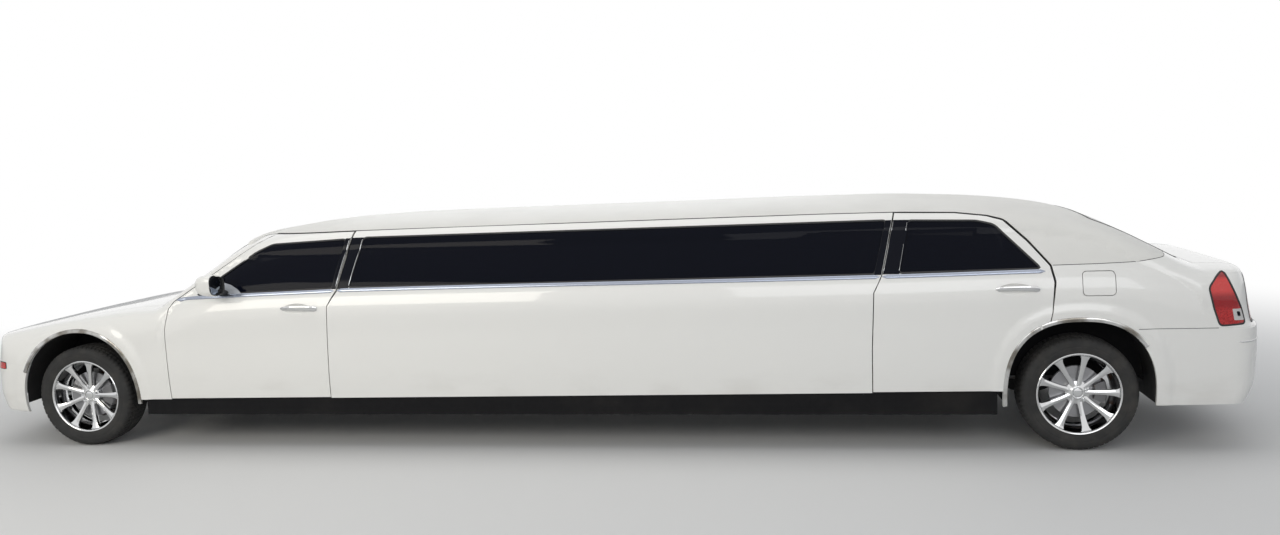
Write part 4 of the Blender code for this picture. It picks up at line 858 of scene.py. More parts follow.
# The nose's corner turns across the car, so the fender's grid is closest there
fender = wrapped_panel(
    fine(F - 0.84, F + 0.84, 0.022, np.linspace(F - 0.84, F - 0.5, 26)), 62, fender_line, BONNET_HALF + LID_GAP,
    [lamp_block(SEAM), outline_block(door_hole(front_door_line), "y", -AWAY, -0.4)], [FRONT_AXLE],
)
skins += pair(fender, "fender_skin", "car", paint, ["front_fender_{side}"])

quarter = wrapped_panel(
    fine(R - 0.303, R + 1.08, 0.015), 84, quarter_line, LID_HALF + LID_GAP,
    [
        outline_block([(R + 0.6203, -LID_HALF - 0.0453), (LID_X - LID_GAP + SEAM, -LID_HALF - 0.0453),
                       (LID_X - LID_GAP + SEAM, 0), (R + 0.6203, 0)], "z", 1.05, 1.40),
        outline_block(lamp_hole, "y", -AWAY, -LID_HALF - LID_GAP + 0.05),
        outline_block(door_hole(rear_door_line), "y", -AWAY, -0.4),
    ],
    [REAR_AXLE],
)
quarter_other = mirror_image(quarter, "quarter_skin_right")
side_cut(quarter, grown(fuel_line, 0.004))
for obj, side in ((quarter, "left"), (quarter_other, "right")):
    dress(obj, f"quarter_skin_{side}", "car", paint, [f"rear_quarter_{side}"])
    skins.append(obj)
fuel_skin = thicken(side_patch(fine(R - 0.01, R + 0.22, 0.012), fine(0.97, 1.16, 0.012)), SKIN)
side_cut(fuel_skin, fuel_line, "INTERSECT")
skins.append(dress(fuel_skin, "fuel_skin", "fuel_door_body", paint, ["fuel_door"]))
print("fenders, quarters and fuel door:", [len(s.data.polygons) for s in skins[-5:]])

# %% [markdown]
# The bonnet is a top patch, and the boot lid is a top patch and a tail patch that meet at a seam. The roof is white
# vinyl glued over the steel. It's laid round whole cross-sections, because behind the rear doors it runs down as two
# sails that frame the small rear window.

# %% Bonnet, roof and boot lid
def both_halves(half):
    """A plan outline from its left half."""
    return half + [(x, -y) for x, y in reversed(half[1:-1])]


def across(columns):
    """Grid lines from side to side, closer towards both edges."""
    half = np.concatenate((np.linspace(0, 0.55, 15), np.linspace(0.575, 0.95, columns)))
    return np.concatenate((-half[:0:-1], half))


bonnet_half = [(0.47, NOSE_TOP + LID_GAP), (BONNET_HALF, LAMP_TOP + LID_GAP), (BONNET_HALF, 1.20)]
bonnet = thicken(
    top_patch(fine(F - 0.835, COWL_X + 0.03, 0.026, np.linspace(F - 0.835, F - 0.7, 20)), across(14)), 0.028,
)
boolean(
    bonnet, outline_block(bonnet_half + [(-y, z) for y, z in reversed(bonnet_half)], "x", F - 1.0, COWL_X),
    "INTERSECT",
)
skins.append(dress(bonnet, "bonnet_skin", "bonnet_body", paint, ["bonnet"]))

roof_line = [
    (F + 1.20, 1.75), (F + 1.20, 1.4550), *DRIP_ROWS, (R - 0.290, 1.3330), (R - 0.165, 1.1810), (R + 0.120, 1.1850),
    (R + 0.340, 1.1910), (R + 0.500, 1.2150), (R + 0.620, 1.2600), (R + 0.620, 1.75),
]
rear_glass_half = [
    (R + 0.700, 0.0), (R + 0.690, 0.40), (R + 0.640, 0.610), (R + 0.135, 0.560), (R + 0.095, 0.30), (R + 0.090, 0.0),
]
windscreen_half = [
    (F + 0.612, 0.0), (F + 0.622, 0.25), (F + 0.655, 0.48), (F + 0.735, 0.705), (F + 1.175, 0.580), (F + 1.150, 0.30),
    (F + 1.140, 0.0),
]
rear_glass_line = rounded(both_halves(rear_glass_half), 0.03)
windscreen_line = rounded(both_halves(windscreen_half), 0.03)


def full_section_patch(xs, count):
    """Whole cross-sections, from one side of the car over the top to the other."""
    half = np.radians(np.concatenate((np.linspace(-20, 58, count), np.linspace(61, 90, 14))))
    return fan_patch(xs, np.concatenate((half, np.pi - half[-2::-1])), 0, 1.02, 0.10)


ROOF_LINES = np.concatenate(
    (fine(F + 1.18, F + 1.45, 0.024), fine(F + 1.5, R - 1.3, 0.09), fine(R - 1.25, R + 0.66, 0.021))
)
roof = thicken(full_section_patch(ROOF_LINES, 40), 0.026)
side_cut(roof, roof_line, "INTERSECT", -AWAY, AWAY)
boolean(roof, outline_block(rear_glass_line, "z", 1.05, 1.8), "DIFFERENCE")
skins.append(dress(roof, "roof_skin", "car", vinyl, ["roof"]))
roof_strip = thicken(top_patch(fine(R + 0.55, LID_X + 0.02, 0.02), across(14)), 0.030)
boolean(
    roof_strip,
    outline_block([(R + 0.6203, -LID_HALF - 0.045), (LID_X - LID_GAP, -LID_HALF - 0.045),
                   (LID_X - LID_GAP, LID_HALF + 0.045), (R + 0.6203, LID_HALF + 0.045)], "z", 1.06, 1.36),
    "INTERSECT",
)
boolean(roof_strip, outline_block(rear_glass_line, "z", 1.0, 1.8), "DIFFERENCE")
skins.append(dress(roof_strip, "rear_deck_strip", "car", paint))
print("bonnet and roof:", [len(s.data.polygons) for s in skins[-3:]])


tail_turns = np.radians(np.linspace(-86, 86, 120))
boot_back = thicken(end_patch(tail_turns, fine(0.76, 1.128, 0.016), TAIL_AXIS), 0.028)
boot_top = thicken(
    top_patch(fine(LID_X - 0.03, R + 1.066, 0.016, np.linspace(R + 0.985, R + 1.066, 22)), across(14)), 0.028,
)
for obj, name, low, high, stands_for in (
    (boot_back, "boot_skin", BUMPER_TOP_REAR + LID_GAP, 1.0850, ["boot_lid"]),
    (boot_top, "boot_top_skin", 1.0853, 1.40, []),
):
    side_cut(obj, [(LID_X, low), (R + 1.40, low), (R + 1.40, high), (LID_X, high)], "INTERSECT", -LID_HALF, LID_HALF)
    skins.append(dress(obj, name, "boot_lid_body", paint, stands_for))

# %% [markdown]
# Windscreen frame: the cowl under the glass, the two pillars and the header. It's one wrapped patch, cut by the
# glass, the bonnet's gap and both doors.

# %% Windscreen frame
frame_line = [
    (COWL_X + LID_GAP, 1.80), (COWL_X + LID_GAP, 0.9853), (F + 0.720, 1.0303), (F + 0.80, 1.075), (F + 1.30, 1.40),
    (F + 1.42, 1.4700), (F + 1.4035, 1.4830), (F + 1.20 - SEAM, 1.4547), (F + 1.20 - SEAM, 1.80),
]
frame_skin = thicken(full_section_patch(fine(COWL_X - 0.02, F + 1.45, 0.018), 44), 0.024)
side_cut(frame_skin, frame_line, "INTERSECT", -AWAY, AWAY)
boolean(frame_skin, outline_block(windscreen_line, "z", 0.9, 1.8), "DIFFERENCE")
for low, high in ((-AWAY, -0.40), (0.40, AWAY)):
    side_cut(frame_skin, door_hole(front_door_line), "DIFFERENCE", low, high)
skins.append(dress(frame_skin, "windscreen_surround", "car", paint, ["windscreen_frame"]))
print("boot and windscreen frame:", [len(s.data.polygons) for s in skins[-2:]])

# %% [markdown]
# Bumpers wrap round the car's ends from wheel to wheel. Their grid turns about an upright axis, so its lines stay
# close where the corner is tight.

# %% Bumpers
GRILLE_BOTTOM = 0.415
grille_line = [(-0.335, GRILLE_BOTTOM), (0.335, GRILLE_BOTTOM), (0.430, NOSE_TOP), (-0.430, NOSE_TOP)]
BUMPER_SKIN = 0.022
front_bumper_line = [
    (F - 0.30, 0.24), (F - 0.30, BUMPER_TOP_FRONT), (F - 0.62, BUMPER_TOP_FRONT + 0.02),
    (F - 1.0, BUMPER_TOP_FRONT + 0.02), (F - 1.0, 0.285), (F - 0.72, 0.300), (F - 0.60, 0.270),
]


def end_turns(middle):
    """Angles from flank to flank round an end, closer at the corners."""
    share = np.linspace(-1, 1, 190)
    return np.radians(middle + 118 * (0.62 * share + 0.38 * share**3))


front_bumper = thicken(end_patch(end_turns(180), fine(0.22, 0.775, 0.020), NOSE_AXIS), BUMPER_SKIN)
shape = outline_block(front_bumper_line, "y", -AWAY, AWAY)
band = outline_block([(-0.4697, 0.56), (0.4697, 0.56), (0.4697, NOSE_TOP), (-0.4697, NOSE_TOP)], "x", F - 1.0, F - 0.60)
boolean(front_bumper, boolean(shape, band, "UNION"), "INTERSECT")
boolean(front_bumper, outline_block(grown(rounded(grille_line, 0.04), SEAM), "x", F - 1.0, F - 0.60), "DIFFERENCE")
side_cut(front_bumper, arch_line(FRONT_AXLE), "DIFFERENCE", -AWAY, AWAY)
intake_line = rounded([(-0.42, 0.325), (0.42, 0.325), (0.42, 0.385), (-0.42, 0.385)], 0.02)
boolean(front_bumper, outline_block(intake_line, "x", F - 1.0, F - 0.6), "DIFFERENCE")
skins.append(dress(front_bumper, "front_bumper_skin", "car", paint, ["front_bumper"]))

rear_bumper_line = [
    (R + 0.24, 0.30), (R + 0.24, 0.70), (R + 0.28, BUMPER_TOP_REAR), (R + 1.40, BUMPER_TOP_REAR), (R + 1.40, 0.310),
    (R + 0.60, 0.300),
]
rear_bumper = thicken(
    end_patch(end_turns(0), fine(0.22, 0.80, 0.018, (0.775, 0.779, 0.785, 0.79)), R + 0.62), BUMPER_SKIN,
)
side_cut(rear_bumper, rear_bumper_line, "INTERSECT", -AWAY, AWAY)
side_cut(rear_bumper, arch_line(REAR_AXLE), "DIFFERENCE", -AWAY, AWAY)
skins.append(dress(rear_bumper, "rear_bumper_skin", "car", paint, ["rear_bumper"]))
for obj in skins:
    shade_by_form(obj)
print("bumpers:", [len(s.data.polygons) for s in skins[-2:]], "panels in all:", len(skins))

# %% [markdown]
# Each pane lies 3 mm below the panel around it. The panes are cut from the same form by the windows' own outlines, so
# their reflections run straight on from the paint, as they do on a real car.

# %% Panes
PANE_DEPTH = 0.003
PANE = 0.005
panes = []
pane_rows = (
    (
        "front_door_pane", WIND_FRONT, fine(F + 0.88, F + 2.04, 0.040), "front_door_{side}_body",
        "front_door_glass_{side}",
    ),
    ("middle_pane", WIND_MIDDLE, fine(F + 2.02, R - 1.12, 0.090), "car", "middle_glass_{side}"),
    ("rear_door_pane", WIND_REAR, fine(R - 1.14, R - 0.20, 0.036), "rear_door_{side}_body", "rear_door_glass_{side}"),
)
for name, outline, xs, body, stands_for in pane_rows:
    pane = thicken(side_patch(xs, fine(1.05, 1.51, 0.030), PANE_DEPTH), PANE)
    side_cut(pane, grown(outline, -SEAM), "INTERSECT")
    panes += shaded_pair(pane, name, body, glass, [stands_for])
for name, outline, patch, stands_for in (
    ("windscreen_pane", windscreen_line, (fine(F + 0.56, F + 1.24, 0.026), across(12)), "windscreen"),
    ("rear_pane", rear_glass_line, (fine(R + 0.05, R + 0.74, 0.026), across(12)), "rear_window"),
):
    pane = thicken(top_patch(*patch, PANE_DEPTH), PANE)
    boolean(pane, outline_block(grown(outline, -SEAM), "z", 0.9, 1.8), "INTERSECT")
    panes.append(shade_by_form(dress(pane, name, "car", glass, [stands_for])))
print("panes:", len(panes))

# %% [markdown]
# Seals, mouldings and trim strips are beads: one small section swept along a line that lies on the form. The line is
# drawn flat, laid on the form by rays, and the section turns with the surface, so a bead never sinks or floats.

# %% Beads along the form
def lie(line, way, under=0.0):
    """Lays (x, z), (x, y) or (y, z) points on the flank, the top, the nose or the tail."""
    a, b = np.array(line, dtype=float).T
    none = 0 * a
    starts, direction = {
        "flank": ((a, none, b), (0, -1.0, 0)),
        "top": ((a, b, none + 0.45), (0, 0, 1.0)),
        "nose": ((none + NOSE_AXIS, a, b), (-1.0, 0, 0)),
        "tail": ((none + TAIL_AXIS, a, b), (1.0, 0, 0)),
    }[way]
    return lay_on_form(np.stack(starts, axis=-1), np.array(direction), under)


def even(line, step, loop=False):
    """The same line with points at even steps."""
    points = np.array(list(line) + list(line[:1]) if loop else line, dtype=float)
    run = np.concatenate(([0], np.cumsum(np.linalg.norm(np.diff(points, axis=0), axis=1))))
    at = np.linspace(0, run[-1], max(2, int(round(run[-1] / step)) + 1))
    spaced = np.stack([np.interp(at, run, column) for column in points.T], axis=-1)
    return spaced[:-1] if loop else spaced


def squared(wave, power):
    """A sine or cosine bent towards a square wave, which turns a circle into a soft rectangle."""
    return np.sign(wave) * np.abs(wave) ** power


def half_round(width, proud, sunk=0.002, steps=8, fullness=2.6):
    """A bead's section: half of a soft rectangle, closed a little below the surface."""
    a = np.linspace(0, np.pi, steps + 1)
    across = width / 2 * squared(np.cos(a), 2 / fullness)
    out = proud * np.sin(a) ** (2 / fullness)
    return np.stack([np.append(across, (-width / 2, width / 2)), np.append(out, (-sunk, -sunk))], axis=-1)


def tube(rings, loop=False):
    """A closed skin through closed rings of points, capped at its ends or joined into a loop."""
    rings = np.concatenate((rings, rings[:, :1]), axis=1)
    if loop:
        rings = np.concatenate((rings, rings[:1]))
    deselect()
    bpy.ops.mesh.primitive_grid_add(x_subdivisions=rings.shape[1] - 1, y_subdivisions=rings.shape[0] - 1, size=1)
    obj = place_points(bpy.context.active_object, rings.reshape(-1, 3))
    bpy.ops.object.mode_set(mode="EDIT")
    bpy.ops.mesh.select_all(action="SELECT")
    bpy.ops.mesh.remove_doubles(threshold=1e-6)
    bpy.ops.mesh.fill_holes(sides=0)
    return turn_faces_out(obj)


def smooth(obj, degrees=35):
    pick(obj)
    bpy.ops.object.shade_smooth_by_angle(angle=math.radians(degrees))
    return obj


def bead(points, section, loop=False, taper=0.0):
    """Sweeps a section of (across, out) points along points of the form. Taper draws its ends in over a length."""
    out = outward(points)
    along = np.roll(points, -1, axis=0) - np.roll(points, 1, axis=0) if loop else np.gradient(points, axis=0)
    along /= np.linalg.norm(along, axis=1, keepdims=True)
    side = np.cross(along, out)
    side /= np.linalg.norm(side, axis=1, keepdims=True)
    run = np.concatenate(([0], np.cumsum(np.linalg.norm(np.diff(points, axis=0), axis=1))))
    size = np.ones(len(points))
    if taper:
        size = np.sqrt(np.clip(np.minimum(run, run[-1] - run) / taper, 0.02, 1))
    rings = points[:, None] + (size[:, None] * section[:, 0])[..., None] * side[:, None]
    rings = rings + (size[:, None] * section[:, 1])[..., None] * out[:, None]
    return smooth(tube(rings, loop))


post_black = Finish("post_black", (0.004, 0.005, 0.010), 0.10, slot="black_plastic", Specular_IOR_Level=0.09)
post_black.feed("Roughness", 0.07 + post_black.noise(12.0, 3.0).ramp(0.4, 0.8) * 0.10)
shadow_black = Finish("seam_shadow", (0.030, 0.030, 0.032), 0.75, slot="black_plastic")
shadow_black.feed("Roughness", 0.65 + shadow_black.noise(50.0) * 0.2)
print("beads ready")

# %% [markdown]
# Rubber frames every pane. The windows of doors have their own loop, so it swings with the door. Windscreen and rear
# window get a wider moulding, because there the rubber is what holds the glass.

# %% Window seals
SEAL = half_round(0.013, 0.0016, 0.006, 5)
WIDE_SEAL = half_round(0.022, 0.0030, 0.008, 6)
for name, outline, body in (
    ("front_door_seal", WIND_FRONT, "front_door_{side}_body"),
    ("middle_seal", WIND_MIDDLE, "car"),
    ("rear_door_seal", WIND_REAR, "rear_door_{side}_body"),
):
    pair(bead(lie(even(outline, 0.014, True), "flank"), SEAL, True), name, body, seal)
for name, outline in (("windscreen_seal", windscreen_line), ("rear_window_seal", rear_glass_line)):
    dress(bead(lie(even(outline, 0.020, True), "top"), WIDE_SEAL, True), name, "car", seal)
print("window seals done")

# %% [markdown]
# Between the panes the posts are faced with gloss black, so the side glass reads as one long dark band, and thin
# bright lines mark their edges. A grey sail and a black base fill the front corner of the window behind the mirror.

# %% Posts, bright lines and sails
POST_PROUD = 0.0030
POST = 0.0045
post_rows = (
    ("front_post_face", "front_door_{side}_body",
     [(F + 1.936, 1.114), (F + 1.9655, 1.114), (F + 2.0308, 1.449), (F + 1.998, 1.449)]),
    ("middle_front_post_face", "car",
     [(F + 1.981, 1.114), (F + 2.056, 1.114), (F + 2.128, 1.4527), (F + 2.047, 1.4517)]),
    ("middle_rear_post_face", "car",
     [(R - 1.252, 1.142), (R - 1.2085, 1.142), (R - 1.1290, 1.478), (R - 1.166, 1.478)]),
    ("rear_post_face", "rear_door_{side}_body",
     [(R - 1.1975, 1.146), (R - 1.095, 1.146), (R - 1.020, 1.477), (R - 1.1175, 1.478)]),
)
faces = []
for name, body, outline in post_rows:
    xs = [x for x, z in outline]
    face = side_panel(
        outline, fine(min(xs) - 0.0213, max(xs) + 0.0217, 0.0107), fine(1.0907, 1.5011, 0.0207), under=-POST_PROUD,
        depth=POST,
    )
    faces += shaded_pair(face, name, body, post_black)

THIN_LINE = half_round(0.0050, 0.0052, 0.001, 6)
FAINT_LINE = half_round(0.0026, 0.0042, 0.001, 5)
for name, body, section, line in (
    ("front_post_line", "front_door_{side}_body", THIN_LINE, [(F + 1.9630, 1.120), (F + 2.0268, 1.447)]),
    ("middle_post_line", "car", THIN_LINE, [(F + 2.0565, 1.122), (F + 2.1255, 1.450)]),
    ("rear_post_line", "rear_door_{side}_body", FAINT_LINE, [(R - 1.1955, 1.150), (R - 1.1155, 1.476)]),
    ("rear_window_line", "rear_door_{side}_body", FAINT_LINE, [(R - 1.0985, 1.150), (R - 1.0290, 1.474)]),
):
    pair(bead(lie(even(line, 0.02), "flank"), section, taper=0.004), name, body, chrome)

sail_finish = Finish("sail_grey", (0.42, 0.44, 0.47), 0.30, 0.3, slot="black_plastic")
sail_finish.feed("Roughness", 0.26 + sail_finish.noise(40.0, 3.0) * 0.14)
for name, sail_line, finish in (
    (
        "mirror_sail",
        [(F + 1.118, 1.091), (F + 1.267, 1.094), (F + 1.232, 1.124), (F + 1.180, 1.152), (F + 1.118, 1.168)],
        sail_finish,
    ),
    ("mirror_base", [(F + 0.925, 1.087), (F + 1.117, 1.091), (F + 1.117, 1.196), (F + 1.105, 1.212)], post_black),
):
    sail = side_panel(
        rounded(sail_line, 0.010), fine(F + 0.90, F + 1.28, 0.0117), fine(1.07, 1.23, 0.0118), under=-0.002,
        depth=0.008,
    )
    shaded_pair(sail, name, "front_door_{side}_body", finish)
print("posts:", len(faces))

# %% [markdown]
# A bright moulding runs along the belt under all the side glass, broken only at the doors. Its section is a low arch,
# so one long highlight follows it. The wheel arches wear the same metal, wrapped round the lip of the wing.

# %% Belt and arch mouldings
BELT_DROP = 0.0165
sill_of_glass = fair((
    (F + 0.700, 1.060), (F + 0.915, 1.084), (F + 1.940, 1.118), (F + 2.055, 1.122), (R - 1.245, 1.146),
    (R - 0.230, 1.163),
))
BELT = half_round(0.027, 0.0070, 0.004, 10, 2.9)
for name, body, low, high in (
    ("belt_moulding_front", "front_door_{side}_body", F + 0.760, F + 1.9565),
    ("belt_moulding_middle", "car", F + 1.972, R - 1.2165),
    ("belt_moulding_rear", "rear_door_{side}_body", R - 1.2035, R - 0.208),
):
    xs = fine(low, high, 0.030)
    belt_points = lie(np.stack([xs, sill_of_glass(xs) - BELT_DROP], axis=-1), "flank")
    pair(bead(belt_points, BELT, taper=0.006), name, body, satin)

arch_chrome = Finish("arch_chrome", (0.45, 0.44, 0.42), 0.10, 1.0, slot="chrome")
smears = arch_chrome.noise(7.0, 4.0, (1, 0.4, 1)).ramp(0.38, 0.66)
arch_chrome.tint(smears, (0.62, 0.62, 0.61), (0.20, 0.185, 0.16))
arch_chrome.feed("Roughness", 0.08 + smears * 0.14)
ARCH_BAND = np.array([
    (0.015, -0.004), (0.015, 0.0015), (0.013, 0.0040), (0.008, 0.0052), (0.001, 0.0052), (-0.006, 0.0050),
    (-0.0105, 0.0035),
    (-0.0120, 0.0005), (-0.0125, -0.010), (-0.0150, -0.012), (-0.0160, -0.008), (-0.0155, 0.0),
])


def arch_band(axle, low_angle, high_angle, grow):
    """Points round a wheel arch between two angles, 180 at its front and 0 at its rear."""
    half, rise, power = ARCH_HALF + grow, ARCH_RISE + grow, ARCH_SQUARE[axle]
    a = np.radians(np.linspace(high_angle, low_angle, 70))
    across = squared(np.cos(a), 2 / power)
    up = squared(np.sin(a), 2 / power)
    return np.stack([axle + half * across, WHEEL_RADIUS + np.where(up < 0, 0.9, 1) * rise * up], axis=-1)


door_break = 118.0
for name, body, axle, low, high in (
    ("front_arch_moulding", "car", FRONT_AXLE, -5.0, 158.0),
    ("rear_door_arch_moulding", "rear_door_{side}_body", REAR_AXLE, door_break + 0.8, 186.0),
    ("rear_arch_moulding", "car", REAR_AXLE, 36.0, door_break - 1.2),
):
    band = bead(lie(arch_band(axle, low, high, 0.013), "flank"), ARCH_BAND)
    pair(band, name, body, arch_chrome)
bumper_seam = [(R + 0.330, BUMPER_TOP_REAR), (R + 0.560, BUMPER_TOP_REAR), (R + 0.796, BUMPER_TOP_REAR)]
pair(bead(lie(even(bumper_seam, 0.02), "flank"), half_round(0.0036, 0.0009, 0.003, 5)), "bumper_seam", "car", seal)

# %% [markdown]
# Inside each arch a black plastic liner follows the opening and keeps stones off the body. It's a thin curved wall.

# %% Arch liners
LINER_ANGLES = (-5, 185)
LINER_GROW, LINER_WALL = 0.006, 0.004
LINER_OUTER_Y, LINER_INNER_Y = -0.895, -0.47
for name, axle in (("front_arch_liner", FRONT_AXLE), ("rear_arch_liner", REAR_AXLE)):
    inner, outer = (arch_band(axle, *LINER_ANGLES, grow) for grow in (LINER_GROW, LINER_GROW + LINER_WALL))
    rings = np.array([
        [(x0, LINER_OUTER_Y, z0), (x0, LINER_INNER_Y, z0), (x1, LINER_INNER_Y, z1), (x1, LINER_OUTER_Y, z1)]
        for (x0, z0), (x1, z1) in zip(inner, outer)
    ])
    pair(smooth(tube(rings), 50), name, "car", plastic)
print("mouldings and liners done")

# %% [markdown]
# Each tail lamp is a leaning wedge of red plastic on the corner, with a black gasket, a field of small facets inside
# and a clear window low down for the reversing light. A painted rib stands between the wedge and a second lens that
# faces straight back.

# %% Tail lamps
lens_red = Finish("lamp_red", (0.36, 0.010, 0.012), 0.10, Coat_Weight=0.6, Coat_Roughness=0.03, Specular_IOR_Level=0.3)
facets = lens_red.cells(120.0).ramp(0.15, 0.75)
high_field = lens_red.axis("Z").ramp(0.965, 1.015) * (1 - lens_red.axis("Z").ramp(1.075, 1.10))
low_field = (1 - lens_red.axis("Z").ramp(0.885, 0.925)) * facets
lens_red.tint(high_field * 0.75 + low_field * 0.45, (0.32, 0.006, 0.010), (0.80, 0.055, 0.050))
lens_red.feed("Roughness", 0.07 + facets * 0.10)
lens_red.bump(facets, 0.0012, 0.35)
lens_clear = Finish("lamp_clear", (0.62, 0.60, 0.58), 0.12, Coat_Weight=0.8, Coat_Roughness=0.03)
rib_phase = lens_clear.axis("Z") * 900.0
ribs = rib_phase.math("SINE", rib_phase)
lens_clear.tint(ribs.ramp(-1.0, 1.0), (0.40, 0.39, 0.38), (0.76, 0.75, 0.74))
lens_clear.bump(ribs, 0.0008, 0.4)

GASKET = half_round(0.011, 0.0022, 0.006, 6)
corner_skin = thicken(end_patch(np.radians(np.linspace(-89, -38, 90)), fine(0.77, 1.125, 0.010), TAIL_AXIS), SKIN)
side_cut(corner_skin, grown(tail_lamp_line, -SEAM), "INTERSECT", -AWAY, -LID_HALF - LID_GAP)
side_cut(corner_skin, wedge_line, "DIFFERENCE", -AWAY, -0.6)
back_lens_line = rounded(
    [(-0.665, 0.800), (-0.665, 1.082), (-0.720, 1.090), (-0.800, 1.052), (-0.828, 0.900), (-0.826, 0.800)], 0.02
)
boolean(corner_skin, outline_block(back_lens_line, "x", R + 0.90, R + 1.3), "DIFFERENCE")
shaded_pair(corner_skin, "tail_corner_skin", "car", paint)

wedge_lens = side_panel(
    grown(wedge_line, -0.001), fine(R + 0.72, R + 0.97, 0.008), fine(0.78, 1.15, 0.010), under=0.001, depth=0.022,
    reach=3,
)
shaded_pair(wedge_lens, "tail_lens", "car", lens_red, ["tail_lamp_{side}"])
back_lens = thicken(end_patch(np.radians(np.linspace(-89, -38, 60)), fine(0.78, 1.11, 0.012), TAIL_AXIS, 0.001), 0.022)
boolean(back_lens, outline_block(grown(back_lens_line, -0.001), "x", R + 0.90, R + 1.3), "INTERSECT")
shaded_pair(back_lens, "back_lens", "car", lens_red)
pair(bead(lie(even(wedge_line, 0.010, True), "flank"), GASKET, True), "tail_lens_gasket", "car", seal)
pair(bead(lie(even(back_lens_line, 0.010, True), "tail"), GASKET, True), "back_lens_gasket", "car", seal)
for name, finish, proud, outline in (
    (
        "reversing_window", lens_clear, 0.0006,
        [(R + 0.874, 0.898), (R + 0.930, 0.898), (R + 0.947, 0.828), (R + 0.886, 0.828)],
    ),
    (
        "reversing_bulb", post_black, 0.0014,
        [(R + 0.899, 0.882), (R + 0.919, 0.882), (R + 0.926, 0.853), (R + 0.906, 0.853)],
    ),
):
    window = side_panel(
        rounded(outline, 0.006), fine(R + 0.86, R + 0.96, 0.008), fine(0.82, 0.91, 0.008), under=-proud, depth=0.004,
    )
    shaded_pair(window, name, "car", finish)
print("tail lamps done")

# %% [markdown]
# A head lamp is a clear cover over a dark bowl. Inside sit two deep reflectors and an amber indicator. The cup is cut
# from one thick patch, so its rim follows the fender and the bumper exactly.

# %% Head lamps
smoke_chrome = Finish("lamp_bowl", (0.20, 0.20, 0.21), 0.25, 0.8, slot="chrome")
smoke_chrome.feed("Roughness", 0.20 + smoke_chrome.noise(40.0) * 0.15)
clear_cover = Finish("lamp_cover", (0.55, 0.57, 0.60), 0.03, slot="lamp_clear", Alpha=0.20, Specular_IOR_Level=0.5)
clear_cover.feed("Roughness", 0.02 + clear_cover.noise(10.0, 3.0).ramp(0.5, 0.8) * 0.05)
amber = Finish("lamp_amber", (0.70, 0.20, 0.02), 0.15, slot="lamp_clear", Coat_Weight=0.8)
amber.bump(amber.cells(150.0), 0.0010, 0.4)


def nose_patch(low, high, z_low, z_high, step, under=0.0):
    """Wraps the nose between two angles and two heights."""
    return end_patch(
        np.radians(np.linspace(low, high, int((high - low) / 1.1))), fine(z_low, z_high, step), NOSE_AXIS, under,
    )


def cut_lamp(obj, grow):
    return boolean(obj, lamp_block(grow), "INTERSECT")


cup = cut_lamp(thicken(nose_patch(181, 262, 0.60, 0.80, 0.012, 0.007), 0.080), -0.0015)
hollow = cut_lamp(thicken(nose_patch(181, 262, 0.60, 0.80, 0.012, -0.02), 0.085), -0.008)
boolean(cup, hollow, "DIFFERENCE")
smooth(cup, 25)
pair(cup, "head_lamp_cup", "car", smoke_chrome, ["head_lamp_{side}"])
cover = cut_lamp(thicken(nose_patch(181, 262, 0.60, 0.80, 0.010, 0.001), 0.004), -0.0015)
shaded_pair(cover, "head_lamp_cover", "car", clear_cover)


def turned(profile, centre, turn=None, sides=48):
    """A closed ring of revolution. Profile points are (radius, out), out is along -Y unless a turn matrix is given."""
    a = np.linspace(0, 2 * np.pi, sides, endpoint=False)
    profile = np.array(profile, dtype=float)
    rings = np.stack([
        np.cos(a)[:, None] * profile[:, 0], 0 * a[:, None] - profile[:, 1], np.sin(a)[:, None] * profile[:, 0],
    ], axis=-1)
    if turn is not None:
        rings = rings @ np.array(turn.to_3x3().transposed())
    return tube(rings + np.array(centre), True)


def merged(parts):
    """Joins parts into one object."""
    pick(parts[0])
    for part in parts:
        part.select_set(True)
    bpy.ops.object.join()
    return bpy.context.active_object


FACE_FRONT = Matrix.Rotation(math.radians(-90), 4, "Z")
reflector = [
    (0.0005, 0.004), (0.020, 0.006), (0.038, 0.022), (0.046, 0.046), (0.050, 0.046), (0.048, 0.018), (0.030, -0.002),
    (0.0005, -0.004),
]
bulb = [(0.0005, 0.030), (0.006, 0.028), (0.009, 0.020), (0.009, 0.004), (0.0005, 0.003)]
bowls = []
for y, z, size, depth in ((-0.560, 0.695, 1.05, 0.075), (-0.690, 0.700, 0.95, 0.075)):
    front_x = float(lie([(y, z)], "nose")[0, 0])
    for profile in (reflector, bulb):
        bowls.append(turned([(r * size, out * size) for r, out in profile], (front_x + depth, y, z), FACE_FRONT, 40))
pair(smooth(merged(bowls), 40), "head_lamp_reflectors", "car", chrome)
indicator_x = float(lie([(-0.790, 0.690)], "nose")[0, 0])
blinker = turned(
    [(0.0005, 0.030), (0.016, 0.026), (0.024, 0.014), (0.026, 0.0), (0.0005, -0.004)],
    (indicator_x + 0.060, -0.785, 0.690), FACE_FRONT, 32,
)
pair(smooth(blinker, 40), "head_lamp_indicator", "car", amber)
print("head lamps done")

# %% [markdown]
# Small things on the bumpers: a red marker lamp at each front corner, a bright strip round the tail, and plates. The
# plates are blank, so no place or owner is named.

